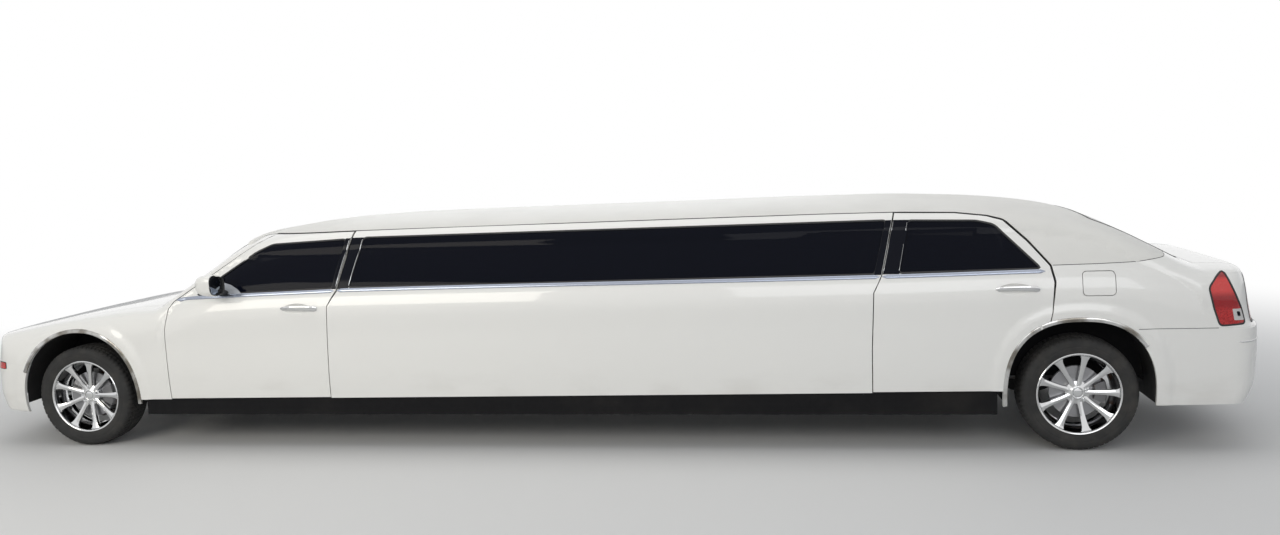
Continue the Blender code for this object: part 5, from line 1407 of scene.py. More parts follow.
# %% Markers, strips and plates
marker_line = rounded([(F - 0.672, 0.579), (F - 0.592, 0.579), (F - 0.592, 0.622), (F - 0.672, 0.622)], 0.006)
marker_red = Finish("marker_red", (0.50, 0.020, 0.020), 0.15, slot="lamp_red", Coat_Weight=0.8)
marker_red.tint(marker_red.cells(160.0).ramp(0.2, 0.7), (0.34, 0.010, 0.012), (0.72, 0.06, 0.05))
marker_red.bump(marker_red.cells(160.0), 0.0008, 0.5)
marker = side_panel(marker_line, fine(F - 0.69, F - 0.58, 0.008), fine(0.57, 0.63, 0.008), under=-0.005, depth=0.008)
shaded_pair(marker, "corner_marker", "car", marker_red)
pair(bead(lie(even(grown(marker_line, 0.002), 0.008, True), "flank"), half_round(0.005, 0.0035, 0.002, 5), True),
     "corner_marker_rim", "car", seal)

strip_way = np.radians(np.linspace(-72.5, 72.5, 160))
strip_z = 0.697 - 0.006 * np.cos(strip_way)
strip_starts = np.stack([np.full_like(strip_way, R + 0.62), 0 * strip_way, strip_z], axis=-1)
strip_rays = np.stack([np.cos(strip_way), np.sin(strip_way), 0 * strip_way], axis=-1)
strip_points = lay_on_form(strip_starts, strip_rays, 0.0)
dress(bead(strip_points, half_round(0.011, 0.0025, 0.003, 8), taper=0.03), "rear_bumper_strip", "car", chrome)

plate_white = Finish("blank_plate", (0.66, 0.66, 0.64), 0.35, 0.1, slot="white_paint")
plate_white.feed("Roughness", 0.30 + plate_white.noise(60.0, 3.0) * 0.15)
plate_white.bump(plate_white.noise(300.0), 0.0002, 0.3)


PLATE_SIZE = (0.003, 0.310, 0.156)


def plate(name, x, z, faces):
    """A pressed plate with a raised rim, blank."""
    deselect()
    bpy.ops.mesh.primitive_cube_add(size=1, location=(0, 0, 0))
    sheet = bpy.context.active_object
    place_points(sheet, points_of(sheet) * PLATE_SIZE + (x + faces * 0.004, 0, z))
    bpy.ops.object.mode_set(mode="EDIT")
    bpy.ops.mesh.select_mode(type="FACE")
    bpy.ops.mesh.select_all(action="DESELECT")
    bm = bmesh.from_edit_mesh(sheet.data)
    for face in bm.faces:
        face.select = face.normal.x * faces > 0.9
    bmesh.update_edit_mesh(sheet.data)
    bpy.ops.mesh.inset(thickness=0.004, depth=0)
    bpy.ops.mesh.inset(thickness=0.002, depth=-0.0012)
    bpy.ops.object.mode_set(mode="OBJECT")
    apply_modifier(sheet, "BEVEL", width=0.0008, segments=2, limit_method="ANGLE")
    return dress(smooth(sheet, 30), name, "car", plate_white)


rear_plate_x = float(lie([(0.0, 0.545)], "tail")[0, 0])
front_plate_x = float(lie([(0.0, 0.460)], "nose")[0, 0])
plate("rear_plate", rear_plate_x - 0.004, 0.545, 1)
plate("front_plate", front_plate_x + 0.006, 0.325, -1)
print("markers, strip and plates done")

# %% [markdown]
# A tyre is a ring whose tread is cut by grooves round it and by sipes across its shoulders. The ring is spun from one
# profile, and points at even angles are pressed in as sipes, so the pattern repeats and costs few faces.

# %% Tyres
TYRE_BLOCKS = 66
TYRE_SIDES = TYRE_BLOCKS * 5
WHEEL_Y = -0.785
tyre_profile = [
    (0.252, 0.098), (0.262, 0.108), (0.274, 0.1145), (0.290, 0.1185), (0.300, 0.1198), (0.302, 0.1188), (0.306, 0.1188),
    (0.308, 0.1198), (0.322, 0.1185), (0.336, 0.1150), (0.346, 0.1100), (0.3535, 0.1035), (0.3580, 0.0960),
    (0.3605, 0.0870),
    (0.3615, 0.0760), (0.3620, 0.0720), (0.3550, 0.0705), (0.3550, 0.0635), (0.3622, 0.0620), (0.3630, 0.0480),
    (0.3632, 0.0330), (0.3555, 0.0315), (0.3555, 0.0240), (0.3633, 0.0225), (0.3635, 0.0110),
]
tyre_profile = tyre_profile + [(r, -out) for r, out in reversed(tyre_profile)]
tyre_profile += [(0.246, -0.090), (0.330, -0.080), (0.345, 0.0), (0.330, 0.080), (0.246, 0.090)]


def place_wheel(obj, axle):
    """Puts a part made round the Y axis at the left wheel of an axle."""
    return place_points(obj, points_of(obj) + (axle, WHEEL_Y, WHEEL_RADIUS))


def make_tyre():
    """The ring with its sipes: across the shoulders at each block, and short ones in the middle ribs."""
    obj = turned(tyre_profile, (0, 0, 0), sides=TYRE_SIDES)
    points = points_of(obj)
    radius = np.hypot(points[:, 0], points[:, 2])
    angle = np.arctan2(points[:, 2], points[:, 0])
    out = np.abs(points[:, 1])
    phase = (angle * TYRE_BLOCKS / (2 * np.pi) + out * 9.0) % 1.0
    shoulder = (out > 0.045) & (out < 0.1110) & (radius > 0.340)
    middle_rib = (out <= 0.045) & (radius > 0.3625)
    press = np.where(shoulder & (phase < 0.19), 0.0055, 0)
    press = press + np.where(middle_rib & (phase > 0.62) & (phase < 0.81), 0.0030, 0)
    points[:, [0, 2]] *= (1 - press / radius)[:, None]
    return smooth(place_points(obj, points), 32)


# %% [markdown]
# The rim is a bright nine-spoke casting. Its barrel is spun. One spoke is lofted from the hub to the lip, with a ridge
# down its face and a flare at each end, and copied round. The cap in the middle is left plain.

# %% Rims
SPOKES = 9
FIRST_SPOKE = math.radians(81)
barrel_profile = [
    (0.2618, 0.1035), (0.2610, 0.1085), (0.2575, 0.1110), (0.2525, 0.1100), (0.2485, 0.1055), (0.2465, 0.0985),
    (0.2450, 0.0860),
    (0.2435, 0.0400), (0.2350, 0.0100), (0.2200, -0.0050), (0.2180, -0.0400), (0.2330, -0.0600), (0.2420, -0.0980),
    (0.2560, -0.1060), (0.2615, -0.1100), (0.2620, -0.1040), (0.2500, -0.0950), (0.2470, -0.0600), (0.2300, -0.0400),
    (0.2300, -0.0100), (0.2480, 0.0100), (0.2510, 0.0600), (0.2520, 0.0950),
]


def spoke_rings():
    """Sections of one spoke that stands up from the hub: its width and the height of its face change with radius."""
    radii = np.array([0.045, 0.056, 0.066, 0.080, 0.100, 0.125, 0.150, 0.175, 0.200, 0.218, 0.232, 0.241, 0.2475])
    halves = np.interp(
        radii, [0.045, 0.066, 0.090, 0.140, 0.200, 0.228, 0.2475], [
            0.0195, 0.0180, 0.0150, 0.0155, 0.0205, 0.0255, 0.0400,
        ],
    )
    faces = 0.060 + 0.038 * ((radii - 0.045) / 0.2025) ** 1.4
    faces[-1] -= 0.006
    shape = np.array([
        (-1.0, -0.018), (-0.97, -0.008), (-0.86, -0.0035), (-0.45, -0.0010), (-0.06, 0.0016), (0.06, 0.0016),
        (0.45, -0.0010),
        (0.86, -0.0035), (0.97, -0.008), (1.0, -0.018), (0.80, -0.034), (0.0, -0.038), (-0.80, -0.034),
    ])
    across = halves[:, None] * shape[:, 0]
    out = faces[:, None] + shape[:, 1]
    return np.stack([across, -out, np.broadcast_to(radii[:, None], out.shape)], axis=-1)


hub_profile = [
    (0.0005, 0.0660), (0.018, 0.0655), (0.0265, 0.0630), (0.0285, 0.0590), (0.0300, 0.0590), (0.0318, 0.0650),
    (0.0350, 0.0665),
    (0.0400, 0.0655), (0.0450, 0.0600), (0.0660, 0.0560), (0.0740, 0.0520), (0.0760, 0.0300), (0.0700, 0.0150),
    (0.0005, 0.0140),
]


def make_rim():
    parts = [turned(barrel_profile, (0, 0, 0), sides=120), turned(hub_profile, (0, 0, 0), sides=72)]
    rings = spoke_rings()
    for k in range(SPOKES):
        turn = np.array(Matrix.Rotation(math.radians(90) - FIRST_SPOKE + k * 2 * math.pi / SPOKES, 3, "Y"))
        parts.append(tube(rings @ turn.T))
    for k in range(5):
        a = math.radians(90 + 72 * k)
        nut = turned([(0.0005, 0.0150), (0.0070, 0.0150), (0.0085, 0.0125), (0.0095, 0.0), (0.0005, 0.0)],
                     (0.0565 * math.cos(a), -0.0570, 0.0565 * math.sin(a)), sides=6)
        parts.append(nut)
    valve_profile = [(0.0005, 0.030), (0.0025, 0.030), (0.0035, 0.020), (0.0035, 0.0), (0.0005, 0.0)]
    parts.append(turned(valve_profile, (0.020, -0.070, -0.2380), sides=12))
    return smooth(merged(parts), 38)


disc_iron = Finish("brake_iron", (0.30, 0.30, 0.31), 0.30, 0.95, slot="cast_metal")
disc_iron.feed("Roughness", 0.24 + disc_iron.noise(200.0, 3.0) * 0.18)
disc_iron.bump(disc_iron.noise(500.0, 2.0), 0.0002, 0.4)


def make_disc():
    plate_ring = [
        (0.085, 0.020), (0.165, 0.020), (0.166, 0.019), (0.166, 0.014), (0.150, 0.013), (0.150, 0.005), (0.166, 0.004),
        (0.166, -0.001), (0.165, -0.002), (0.085, -0.002),
    ]
    hat = [
        (0.0005, 0.040), (0.068, 0.040), (0.072, 0.036), (0.074, 0.018), (0.087, 0.018), (0.087, 0.006), (0.066, 0.006),
        (0.062, 0.030), (0.0005, 0.032),
    ]
    return smooth(merged([turned(plate_ring, (0, 0, 0), sides=96), turned(hat, (0, 0, 0), sides=72)]), 35)


def make_caliper():
    """A floating caliper: a bridge over the disc's edge with two piston housings, at the rear of the wheel."""
    angles = np.radians(np.linspace(-24, 24, 15))
    shape = np.array([
        (0.108, 0.050), (0.150, 0.052), (0.176, 0.046), (0.184, 0.034), (0.184, -0.030), (0.176, -0.046),
        (0.110, -0.050),
        (0.108, -0.018), (0.168, -0.014), (0.171, -0.008), (0.171, 0.028), (0.168, 0.032), (0.108, 0.030),
    ])
    rings = np.stack([
        np.cos(angles)[:, None] * shape[:, 0], 0 * angles[:, None] - shape[:, 1], np.sin(angles)[:, None] * shape[:, 0],
    ], axis=-1)
    parts = [tube(rings)]
    for a in (-0.19, 0.19):
        parts.append(turned([(0.0005, -0.070), (0.020, -0.070), (0.024, -0.064), (0.024, -0.040), (0.0005, -0.040)],
                            (0.140 * math.cos(a), 0, 0.140 * math.sin(a)), sides=24))
    return smooth(merged(parts), 35)


for axle, name, carrier in ((FRONT_AXLE, "front", "knuckle_{side}_body"), (REAR_AXLE, "rear", "car")):
    wheel_body = f"wheel_{name}_" + "{side}"
    pair(place_wheel(make_tyre(), axle), f"{name}_tyre_tread", wheel_body, rubber, [f"tyre_{name}_" + "{side}"])
    pair(place_wheel(make_rim(), axle), f"{name}_rim_casting", wheel_body, chrome, [f"rim_{name}_" + "{side}"])
    pair(place_wheel(make_disc(), axle), f"{name}_brake_disc", wheel_body, disc_iron)
    pair(place_wheel(make_caliper(), axle), f"{name}_caliper", carrier, cast)
print("wheels done")

# %% [markdown]
# A door handle is a curved bar over a shallow cup that takes the fingers. The cup is pressed into the skin, so it is
# cut through the panel and filled by a dish that has the same paint. A mirror is a hollow shell on a short foot.

# %% Door handles and mirrors
def dish(name, centre, size, body):
    """A painted cup set into the flank: its depth grows smoothly from its rim."""
    angles, reach = np.linspace(0, 2 * np.pi, 49), np.linspace(0.02, 1.0, 14)
    obj, a, r = grid(angles, reach)
    x = centre[0] + size[0] * r * np.cos(a)
    z = centre[1] + size[1] * r * np.sin(a)
    lay_patch(obj, np.stack([x, 0 * x, z], axis=-1), np.array([0, -1.0, 0]), 0.0004 + 0.013 * (1 - r**2) ** 0.8)
    thicken(obj, 0.003)
    return pair(smooth(obj, 60), name, body, paint)


HANDLE_LENGTH = 0.265


def handle(name, centre, body):
    """The pull: a bar that thickens towards its free end, stands off the door and turns in at both ends."""
    t = np.linspace(-1, 1, 41)
    x = centre[0] + t * HANDLE_LENGTH / 2
    z = centre[1] + 0.004 * (1 - t**2) - 0.002 * t
    base = lie(np.stack([x, z], axis=-1), "flank")
    out = outward(base)
    lift = 0.021 * (1 - np.abs(t) ** 3.2) + 0.004
    half_tall = np.interp(
        t, [-1, -0.9, -0.6, 0.0, 0.6, 0.88, 1.0], [0.006, 0.011, 0.0135, 0.0150, 0.0185, 0.0190, 0.0120],
    )
    half_deep = np.interp(t, [-1, -0.85, 0.0, 0.7, 1.0], [0.006, 0.0065, 0.0065, 0.0085, 0.007])
    a = np.linspace(0, 2 * np.pi, 20, endpoint=False)
    up = squared(np.sin(a), 0.8)
    across = squared(np.cos(a), 0.8)
    rings = (base + lift[:, None] * out)[:, None]
    rings = rings + (half_deep[:, None] * across)[..., None] * out[:, None]
    rings = rings + (half_tall[:, None] * up)[..., None] * np.array([0, 0, 1.0])
    bar = tube(rings)
    feet = []
    for at in (-0.86, 0.86):
        foot = lie([(centre[0] + at * HANDLE_LENGTH / 2, centre[1])], "flank")[0]
        feet.append(turned([(0.0005, 0.010), (0.010, 0.010), (0.012, 0.0), (0.0005, -0.006)], foot, sides=24))
    return pair(smooth(merged([bar, *feet]), 50), name, body, chrome)


HANDLE_BEHIND_CUP = 0.015
for end in ("front", "rear"):
    cup_x, cup_z = CUP_MIDDLES[f"{end}_door"]
    dish(f"{end}_handle_cup", (cup_x, cup_z), HANDLE_CUP, end + "_door_{side}_body")
    handle(f"{end}_handle", (cup_x + HANDLE_BEHIND_CUP, cup_z), end + "_door_{side}_body")
print("handles done")

MIRROR_X, MIRROR_MIDDLE_Y, MIRROR_Z = F + 1.105, -1.015, 1.170
mirror_steps = [
    # along X, share of the outline
    (-0.0745, 0.05), (-0.0735, 0.22), (-0.0700, 0.42), (-0.0620, 0.62), (-0.0480, 0.79), (-0.0280, 0.91),
    (-0.0050, 0.97),
    (0.0200, 1.0), (0.0450, 1.0), (0.0560, 0.985), (0.0600, 0.960), (0.0595, 0.930), (0.0540, 0.915), (0.0420, 0.905),
]


def mirror_ring(along, share, sides=44):
    """One outline of the mirror head: a soft rectangle, wider at its outer end and drooping a little."""
    a = np.linspace(0, 2 * np.pi, sides, endpoint=False)
    y = squared(np.cos(a), 2 / 3.2) * 0.088
    z = squared(np.sin(a), 2 / 3.2) * np.where(y < 0, 0.074, 0.066)
    return np.stack(
        [MIRROR_X + along + 0 * a + 0.10 * share * y, MIRROR_MIDDLE_Y + share * y, MIRROR_Z + share * (z - 0.10 * y)],
        axis=-1,
    )


shell = smooth(tube(np.array([mirror_ring(*step) for step in mirror_steps])), 50)
pair(shell, "mirror_shell", "front_door_{side}_body", paint, ["mirror_{side}"])
mirror_glass = Finish("mirror_glass", (0.30, 0.32, 0.34), 0.03, 1.0, slot="chrome")
mirror_glass.feed("Roughness", 0.02 + mirror_glass.noise(15.0, 3.0).ramp(0.5, 0.8) * 0.05)
plate_rings = np.array([mirror_ring(0.0425, 0.890), mirror_ring(0.0465, 0.890), mirror_ring(0.0470, 0.880)])
pair(smooth(tube(plate_rings), 30), "mirror_plate", "front_door_{side}_body", mirror_glass)
rim_rings = np.array([mirror_ring(along, share) for along, share in (
    (0.0540, 0.965), (0.0615, 0.960), (0.0628, 0.935), (0.0610, 0.905), (0.0500, 0.893), (0.0430, 0.893),
    (0.0440, 0.940),
)])
rim_rings = np.concatenate((rim_rings, rim_rings[:1])).transpose(1, 0, 2)[:, :-1]
pair(smooth(tube(rim_rings, True), 50), "mirror_rim", "front_door_{side}_body", plastic)

foot_t = np.linspace(0, 1, 12)
foot_path = np.stack([
    MIRROR_X + 0.020 + 0 * foot_t, -0.872 - 0.110 * foot_t, 1.098 + 0.030 * foot_t**0.7,
], axis=-1)
a = np.linspace(0, 2 * np.pi, 24, endpoint=False)
foot_rings = foot_path[:, None] + np.stack([
    np.cos(a) * (0.046 - 0.012 * foot_t[:, None]), 0 * a + 0 * foot_t[:, None], np.sin(a) * (
        0.020 + 0.006 * foot_t[:, None]
    ),
], axis=-1)
pair(smooth(tube(foot_rings), 50), "mirror_foot", "front_door_{side}_body", plastic)
print("mirrors done")

# %% [markdown]
# Roof seams. A dark drip seam runs along each side where the vinyl meets the painted frame, and a padded roll ends
# the vinyl above the windscreen.

# %% Roof seams
drip = [(F + 1.245, 1.4570), (F + 1.320, 1.4715), *DRIP_ROWS, (R - 0.300, 1.3400)]
pair(bead(lie(even(drip, 0.04), "flank"), half_round(0.0045, 0.0016, 0.004, 5)), "drip_seam", "car", shadow_black)
sail_seam = [(R - 0.160, 1.1815), (R + 0.120, 1.1853), (R + 0.340, 1.1913), (R + 0.500, 1.2153), (R + 0.6195, 1.2600)]
sail_points = lie(even(sail_seam, 0.02), "flank")
pair(bead(sail_points[sail_points[:, 1] < -0.55], half_round(0.0040, 0.0012, 0.004, 5)), "sail_seam", "car", seal)
roll_ys = np.linspace(-0.655, 0.655, 90)
roll = lie(np.stack([F + 1.232 + 0 * roll_ys, roll_ys], axis=-1), "top")
dress(bead(roll, half_round(0.060, 0.0170, 0.004, 12, 2.2), taper=0.05), "vinyl_front_roll", "car", vinyl)
print("roof seams done")

# %% [markdown]
# The grille is a chrome frame in the solids. Behind its bars goes a finer egg-crate of thin bright blades over a black
# backing. At the foot of the windscreen lie the dark cowl panel and two wipers, with a washer jet on the bonnet.

# %% Grille blades, cowl and wipers
blades = []
for y in np.linspace(-0.375, 0.375, 31):
    low = GRILLE_BOTTOM + 0.045
    line = np.stack([np.full(14, y), np.linspace(low, NOSE_TOP - 0.045, 14)], axis=-1)
    if abs(y) < 0.30:
        blades.append(bead(lie(line, "nose", 0.022), half_round(0.004, 0.006, 0.006, 4)))
for z in np.linspace(GRILLE_BOTTOM + 0.055, NOSE_TOP - 0.055, 12):
    half = 0.290 + 0.26 * (z - GRILLE_BOTTOM) * 0.9
    line = np.stack([np.linspace(-half, half, 40), np.full(40, z)], axis=-1)
    blades.append(bead(lie(line, "nose", 0.024), half_round(0.004, 0.006, 0.006, 4)))
dress(smooth(merged(blades), 40), "grille_blades", "car", smoke_chrome)
backing = thicken(nose_patch(150, 210, GRILLE_BOTTOM, NOSE_TOP, 0.03, 0.048), 0.004)
boolean(backing, outline_block(grown(rounded(grille_line, 0.04), -0.012), "x", F - 1.0, F - 0.60), "INTERSECT")
dress(backing, "grille_backing", "car", plastic)

cowl_ys = np.linspace(-0.640, 0.640, 90)
cowl_xs = F + 0.5905 + 0.012 * (cowl_ys / 0.64) ** 2
dress(bead(lie(np.stack([cowl_xs, cowl_ys], axis=-1), "top"), half_round(0.034, 0.0035, 0.003, 8), taper=0.02),
    "cowl_panel", "car", plastic)
for k, (start, end) in enumerate(
    (((F + 0.640, -0.600), (F + 0.745, 0.020)), ((F + 0.635, -0.010), (F + 0.735, 0.560)))
):
    blade = lie(even([start, ((start[0] + end[0]) / 2 + 0.006, (start[1] + end[1]) / 2), end], 0.02), "top", -0.006)
    arm_line = [(F + 0.604, start[1] + 0.25), (F + 0.660, start[1] + 0.285), ((start[0] + end[0]) / 2, start[1] + 0.31)]
    arm = lie(even(arm_line, 0.015), "top", -0.014)
    hub = turned([(0.0005, 0.016), (0.012, 0.014), (0.016, 0.004), (0.016, -0.012), (0.0005, -0.012)],
                 arm[0] - (0, 0, 0.006), Matrix.Rotation(math.radians(-90), 4, "X"), 24)
    wiper = merged(
        [
            bead(blade, half_round(0.012, 0.006, 0.007, 5), taper=0.02),
            bead(arm, half_round(0.010, 0.005, 0.006, 5)), hub,
        ]
    )
    dress(smooth(wiper, 40), f"wiper_{k + 1}", "car", plastic)
for k, y in enumerate((-0.30, 0.30)):
    foot = lie([(F + 0.470, y)], "top")[0]
    jet = turned([(0.0005, 0.012), (0.010, 0.011), (0.016, 0.005), (0.020, -0.002), (0.0005, -0.004)], foot,
                 Matrix.Rotation(math.radians(-90), 4, "X"), 24)
    dress(smooth(jet, 40), f"washer_jet_{k + 1}", "bonnet_body", plastic)
print("front fittings done")

# %% [markdown]
# Seats are soft, so they are made as cloth. Each pad starts a little small, is remeshed into even squares, and is
# blown up for 20 steps with no gravity. Sewn channels are pressed in afterwards, where the leather is pulled down.

# %% Padded seats
leather = Finish("grey_leather", (0.20, 0.20, 0.205), 0.5, Specular_IOR_Level=0.4)
leather.tint(leather.noise(3.0, 4.0).ramp(0.35, 0.75), (0.17, 0.17, 0.175), (0.25, 0.248, 0.245))
leather.feed("Roughness", 0.40 + leather.noise(45.0, 3.0) * 0.2)
leather.bump(leather.cells(330.0, "DISTANCE_TO_EDGE").ramp(0.0, 0.2), 0.0005, 0.5)


PAD_STEPS = 20
PAD_SWELL = 0.024
CHANNEL_DEEP, CHANNEL_WIDE = 0.009, 0.011


def pad(name, outline, axis, low, high, voxel, channels=()):
    """A cushion from an outline pushed along an axis. Channels are (axis number, places of the seams)."""
    obj = outline_block(rounded(outline, 0.02, 3), axis, low, high)
    apply_modifier(obj, "REMESH", mode="VOXEL", voxel_size=voxel)
    start = points_of(obj)
    pick(obj)
    cloth = obj.modifiers.new("cloth", "CLOTH")
    cloth.settings.quality = 4
    cloth.settings.mass = 0.3
    cloth.settings.tension_stiffness = cloth.settings.compression_stiffness = 12
    cloth.settings.use_pressure = True
    cloth.settings.uniform_pressure_force = 4
    cloth.settings.effector_weights.gravity = 0
    cloth.collision_settings.use_collision = False
    cloth.point_cache.frame_start, cloth.point_cache.frame_end = 1, PAD_STEPS
    for step in range(1, PAD_STEPS + 1):
        bpy.context.scene.frame_set(step)
    bpy.ops.object.modifier_apply(modifier=cloth.name)
    bpy.context.scene.frame_set(1)
    moved = points_of(obj) - start
    length = np.maximum(np.linalg.norm(moved, axis=1, keepdims=True), 1e-9)
    place_points(obj, start + moved * np.minimum(1, PAD_SWELL / length))
    apply_modifier(obj, "SUBSURF", levels=1, render_levels=1)
    points = points_of(obj)
    normals = np.array([v.normal[:] for v in obj.data.vertices])
    sink = np.zeros(len(points))
    for letter, places in channels:
        away = np.abs(points[:, letter][:, None] - np.array(places)).min(axis=1)
        sink = np.maximum(sink, CHANNEL_DEEP * np.exp(-(away / CHANNEL_WIDE) ** 2))
    place_points(obj, points - sink[:, None] * normals)
    obj.data.shade_smooth()
    dress(obj, name, "car", leather)
    return obj


SEAT_X, BENCH_X = F + 1.24, R - 1.19


def seat_outlines(x, reach):
    """Side views of a seat's cushion, back and head rest, from its front edge and how far back it goes."""
    end = x + reach
    cushion = [
        (x - 0.030, 0.462), (x - 0.036, 0.512), (x - 0.004, 0.562), (x + 0.12, 0.556), (end - 0.11, 0.520),
        (end - 0.10, 0.455),
    ]
    back = [
        (end - 0.060, 0.570), (end - 0.045, 0.640), (end + 0.098, 1.020), (end + 0.112, 1.075),
        (end + 0.175, 1.075), (end + 0.150, 0.950), (end + 0.045, 0.570),
    ]
    rest = [(end + 0.118, 1.095), (end + 0.130, 1.225), (end + 0.195, 1.235), (end + 0.205, 1.095)]
    return cushion, back, rest


for side, middle in (("left", -0.38), ("right", 0.38)):
    flutes = [(1, [middle + d for d in (-0.165, -0.055, 0.055, 0.165)])]
    for part, outline, half in zip(("cushion", "back", "rest"), seat_outlines(SEAT_X, 0.52), (0.243, 0.238, 0.135)):
        pad(f"seat_{part}_{side}", outline, "y", middle - half, middle + half, 0.015, flutes if part != "rest" else ())
for part, outline, half in zip(("cushion", "back"), seat_outlines(BENCH_X, 0.46), (0.610, 0.600)):
    pad(f"bench_{part}", outline, "y", -half, half, 0.020, [(1, np.linspace(-0.48, 0.48, 7))])
for part, outline, end_x in (
    ("cushion", [(0.290, 0.470), (0.272, 0.510), (0.300, 0.558), (0.600, 0.542), (0.612, 0.480)], 2.30),
    ("back", [(0.650, 0.570), (0.655, 0.640), (0.668, 0.915), (0.690, 0.928), (0.760, 0.928), (0.765, 0.570)], 2.36),
):
    pad(f"side_bench_{part}", outline, "x", -0.765, end_x, 0.022, [(0, np.linspace(-0.50, 2.10, 8))])
print("seats done")

# %% [markdown]
# Trim hides the metal inside: cards on the doors with an armrest and a pull, linings along the saloon, a pale
# headliner, and a bulkhead and shelf behind the last seat. Cards and linings are patches of the same form, further in.

# %% Trim cards, linings and headliner
card_finish = Finish("trim_card", (0.30, 0.295, 0.285), 0.6, slot="black_plastic")
card_finish.tint(card_finish.noise(4.0, 4.0).ramp(0.3, 0.7), (0.27, 0.265, 0.255), (0.34, 0.335, 0.32))
card_finish.feed("Roughness", 0.52 + card_finish.noise(60.0) * 0.18)
card_finish.bump(card_finish.cells(420.0, "DISTANCE_TO_EDGE").ramp(0.0, 0.2), 0.0004, 0.5)
headliner_finish = Finish("headliner", (0.62, 0.61, 0.58), 0.9, slot="black_plastic")
headliner_finish.tint(headliner_finish.noise(2.0, 4.0), (0.58, 0.57, 0.54), (0.68, 0.67, 0.64))
headliner_finish.bump(headliner_finish.noise(600.0, 2.0), 0.0006, 0.6)
CARD_DEEP = 0.0195
card_rows = (
    (
        "front_door_card", "front_door_{side}_body", (F + 0.78, F + 1.875, 0.40, 1.055), (FRONT_AXLE,),
        (F + 1.20, F + 1.78, 0.84),
    ),
    (
        "rear_door_card", "rear_door_{side}_body", (R - 1.235, R - 0.255, 0.43, 1.105), (REAR_AXLE,),
        (R - 1.12, R - 0.52, 0.88),
    ),
)
for name, body, (x0, x1, z0, z1), arches, (arm0, arm1, arm_z) in card_rows:
    outline = rounded([(x0, z0), (x0, z1), (x1, z1), (x1, z0)], 0.04)
    card = thicken(side_patch(fine(x0 - 0.02, x1 + 0.02, 0.05), fine(z0 - 0.02, z1 + 0.02, 0.04), CARD_DEEP), 0.020)
    side_cut(card, outline, "INTERSECT")
    for axle in arches:
        side_cut(card, arch_line(axle, 0.035))
    pair(smooth(card, 40), name, body, card_finish)
    arm_x = np.linspace(arm0, arm1, 30)
    arm = lie(
        np.stack([arm_x, arm_z - 0.02 * ((arm_x - arm0) / (arm1 - arm0) - 0.5)], axis=-1), "flank", CARD_DEEP + 0.018,
    )
    armrest = bead(arm, half_round(0.070, -0.055, -0.004, 10), taper=0.06)
    pull = bead(lie(np.stack([arm_x[4:16], arm_z + 0.075 + 0 * arm_x[4:16]], axis=-1), "flank", CARD_DEEP + 0.020),
                half_round(0.022, -0.026, -0.002, 8), taper=0.03)
    pair(smooth(turn_faces_out(armrest), 50), f"{name}_armrest", body, leather)
    pair(smooth(turn_faces_out(pull), 50), f"{name}_pull", body, chrome)
lining = thicken(side_patch(fine(F + 2.00, R - 1.26, 0.10), fine(0.42, 1.10, 0.06), CARD_DEEP), 0.014)
side_cut(lining, rounded([(F + 2.02, 0.43), (F + 2.02, 1.085), (R - 1.28, 1.105), (R - 1.28, 0.45)], 0.03), "INTERSECT")
pair(smooth(lining, 40), "saloon_lining", "car", card_finish)
headliner = top_patch(fine(F + 1.36, R - 0.12, 0.10), fine(-0.54, 0.54, 0.06), 0.034)
dress(smooth(thicken(headliner, 0.006), 40), "headliner_panel", "car", headliner_finish)
shelf = [
    outline_block([(R - 0.46, 1.125), (R + 0.60, 1.125), (R + 0.60, 1.135), (R - 0.46, 1.135)], "y", -0.62, 0.62),
    outline_block([(-0.70, 0.42), (0.70, 0.42), (0.70, 1.14), (-0.70, 1.14)], "x", R - 0.470, R - 0.455),
]
dress(smooth(merged(shelf), 30), "parcel_shelf", "car", card_finish)
print("trim done")

# %% [markdown]
# The driver's place: a leather rim over the wheel of the solids, two dials in bright rings, air vents with their
# slats, a screen and an interior mirror. The cabin floor gets a carpet with a raised edge.

# %% Driver's place and carpet
WHEEL_CENTRE = (F + 1.126, -0.38, 0.92)
FACE_BACK = Matrix.Rotation(math.radians(90), 4, "Z")
a = np.linspace(0, 2 * np.pi, 17)[:-1]
rim_profile = [(0.185 + 0.0205 * math.cos(t) * 0.85, 0.0205 * math.sin(t)) for t in a]
wheel_tilt = Matrix.Rotation(math.radians(-28), 4, "Y") @ FACE_BACK
rim = turned(rim_profile, WHEEL_CENTRE, wheel_tilt, 72)
hub = turned(
    [(0.0005, 0.040), (0.040, 0.037), (0.062, 0.026), (0.070, 0.008), (0.066, -0.012), (0.0005, -0.016)],
    WHEEL_CENTRE, wheel_tilt, 40,
)
dress(smooth(merged([rim, hub]), 50), "steering_rim", "car", leather)
dial_profile = [
    (0.0005, 0.004), (0.044, 0.004), (0.048, 0.014), (0.053, 0.014), (0.055, 0.004), (0.055, -0.020), (0.0005, -0.020),
]
dials = [turned(dial_profile, (F + 0.952, y, 0.885), wheel_tilt) for y in (-0.46, -0.30)]
dress(smooth(merged(dials), 30), "dial_rings", "car", smoke_chrome)
slats = []
for y in (-0.66, -0.10, 0.10, 0.66):
    face_x = F + 0.940
    frame_line = rounded([(y - 0.058, 0.790), (y + 0.058, 0.790), (y + 0.058, 0.862), (y - 0.058, 0.862)], 0.012)
    outer = outline_block(frame_line, "x", face_x - 0.030, face_x + 0.028)
    slats.append(
        boolean(outer, outline_block(grown(frame_line, -0.007), "x", face_x + 0.004, face_x + 0.060), "DIFFERENCE")
    )
    for k in range(5):
        z = 0.802 + 0.012 * k
        slat_line = [(y - 0.052, z), (y + 0.052, z), (y + 0.052, z + 0.0035), (y - 0.052, z + 0.0035)]
        slats.append(outline_block(slat_line, "x", face_x, face_x + 0.022))
dress(smooth(merged(slats), 30), "air_vents", "car", plastic)
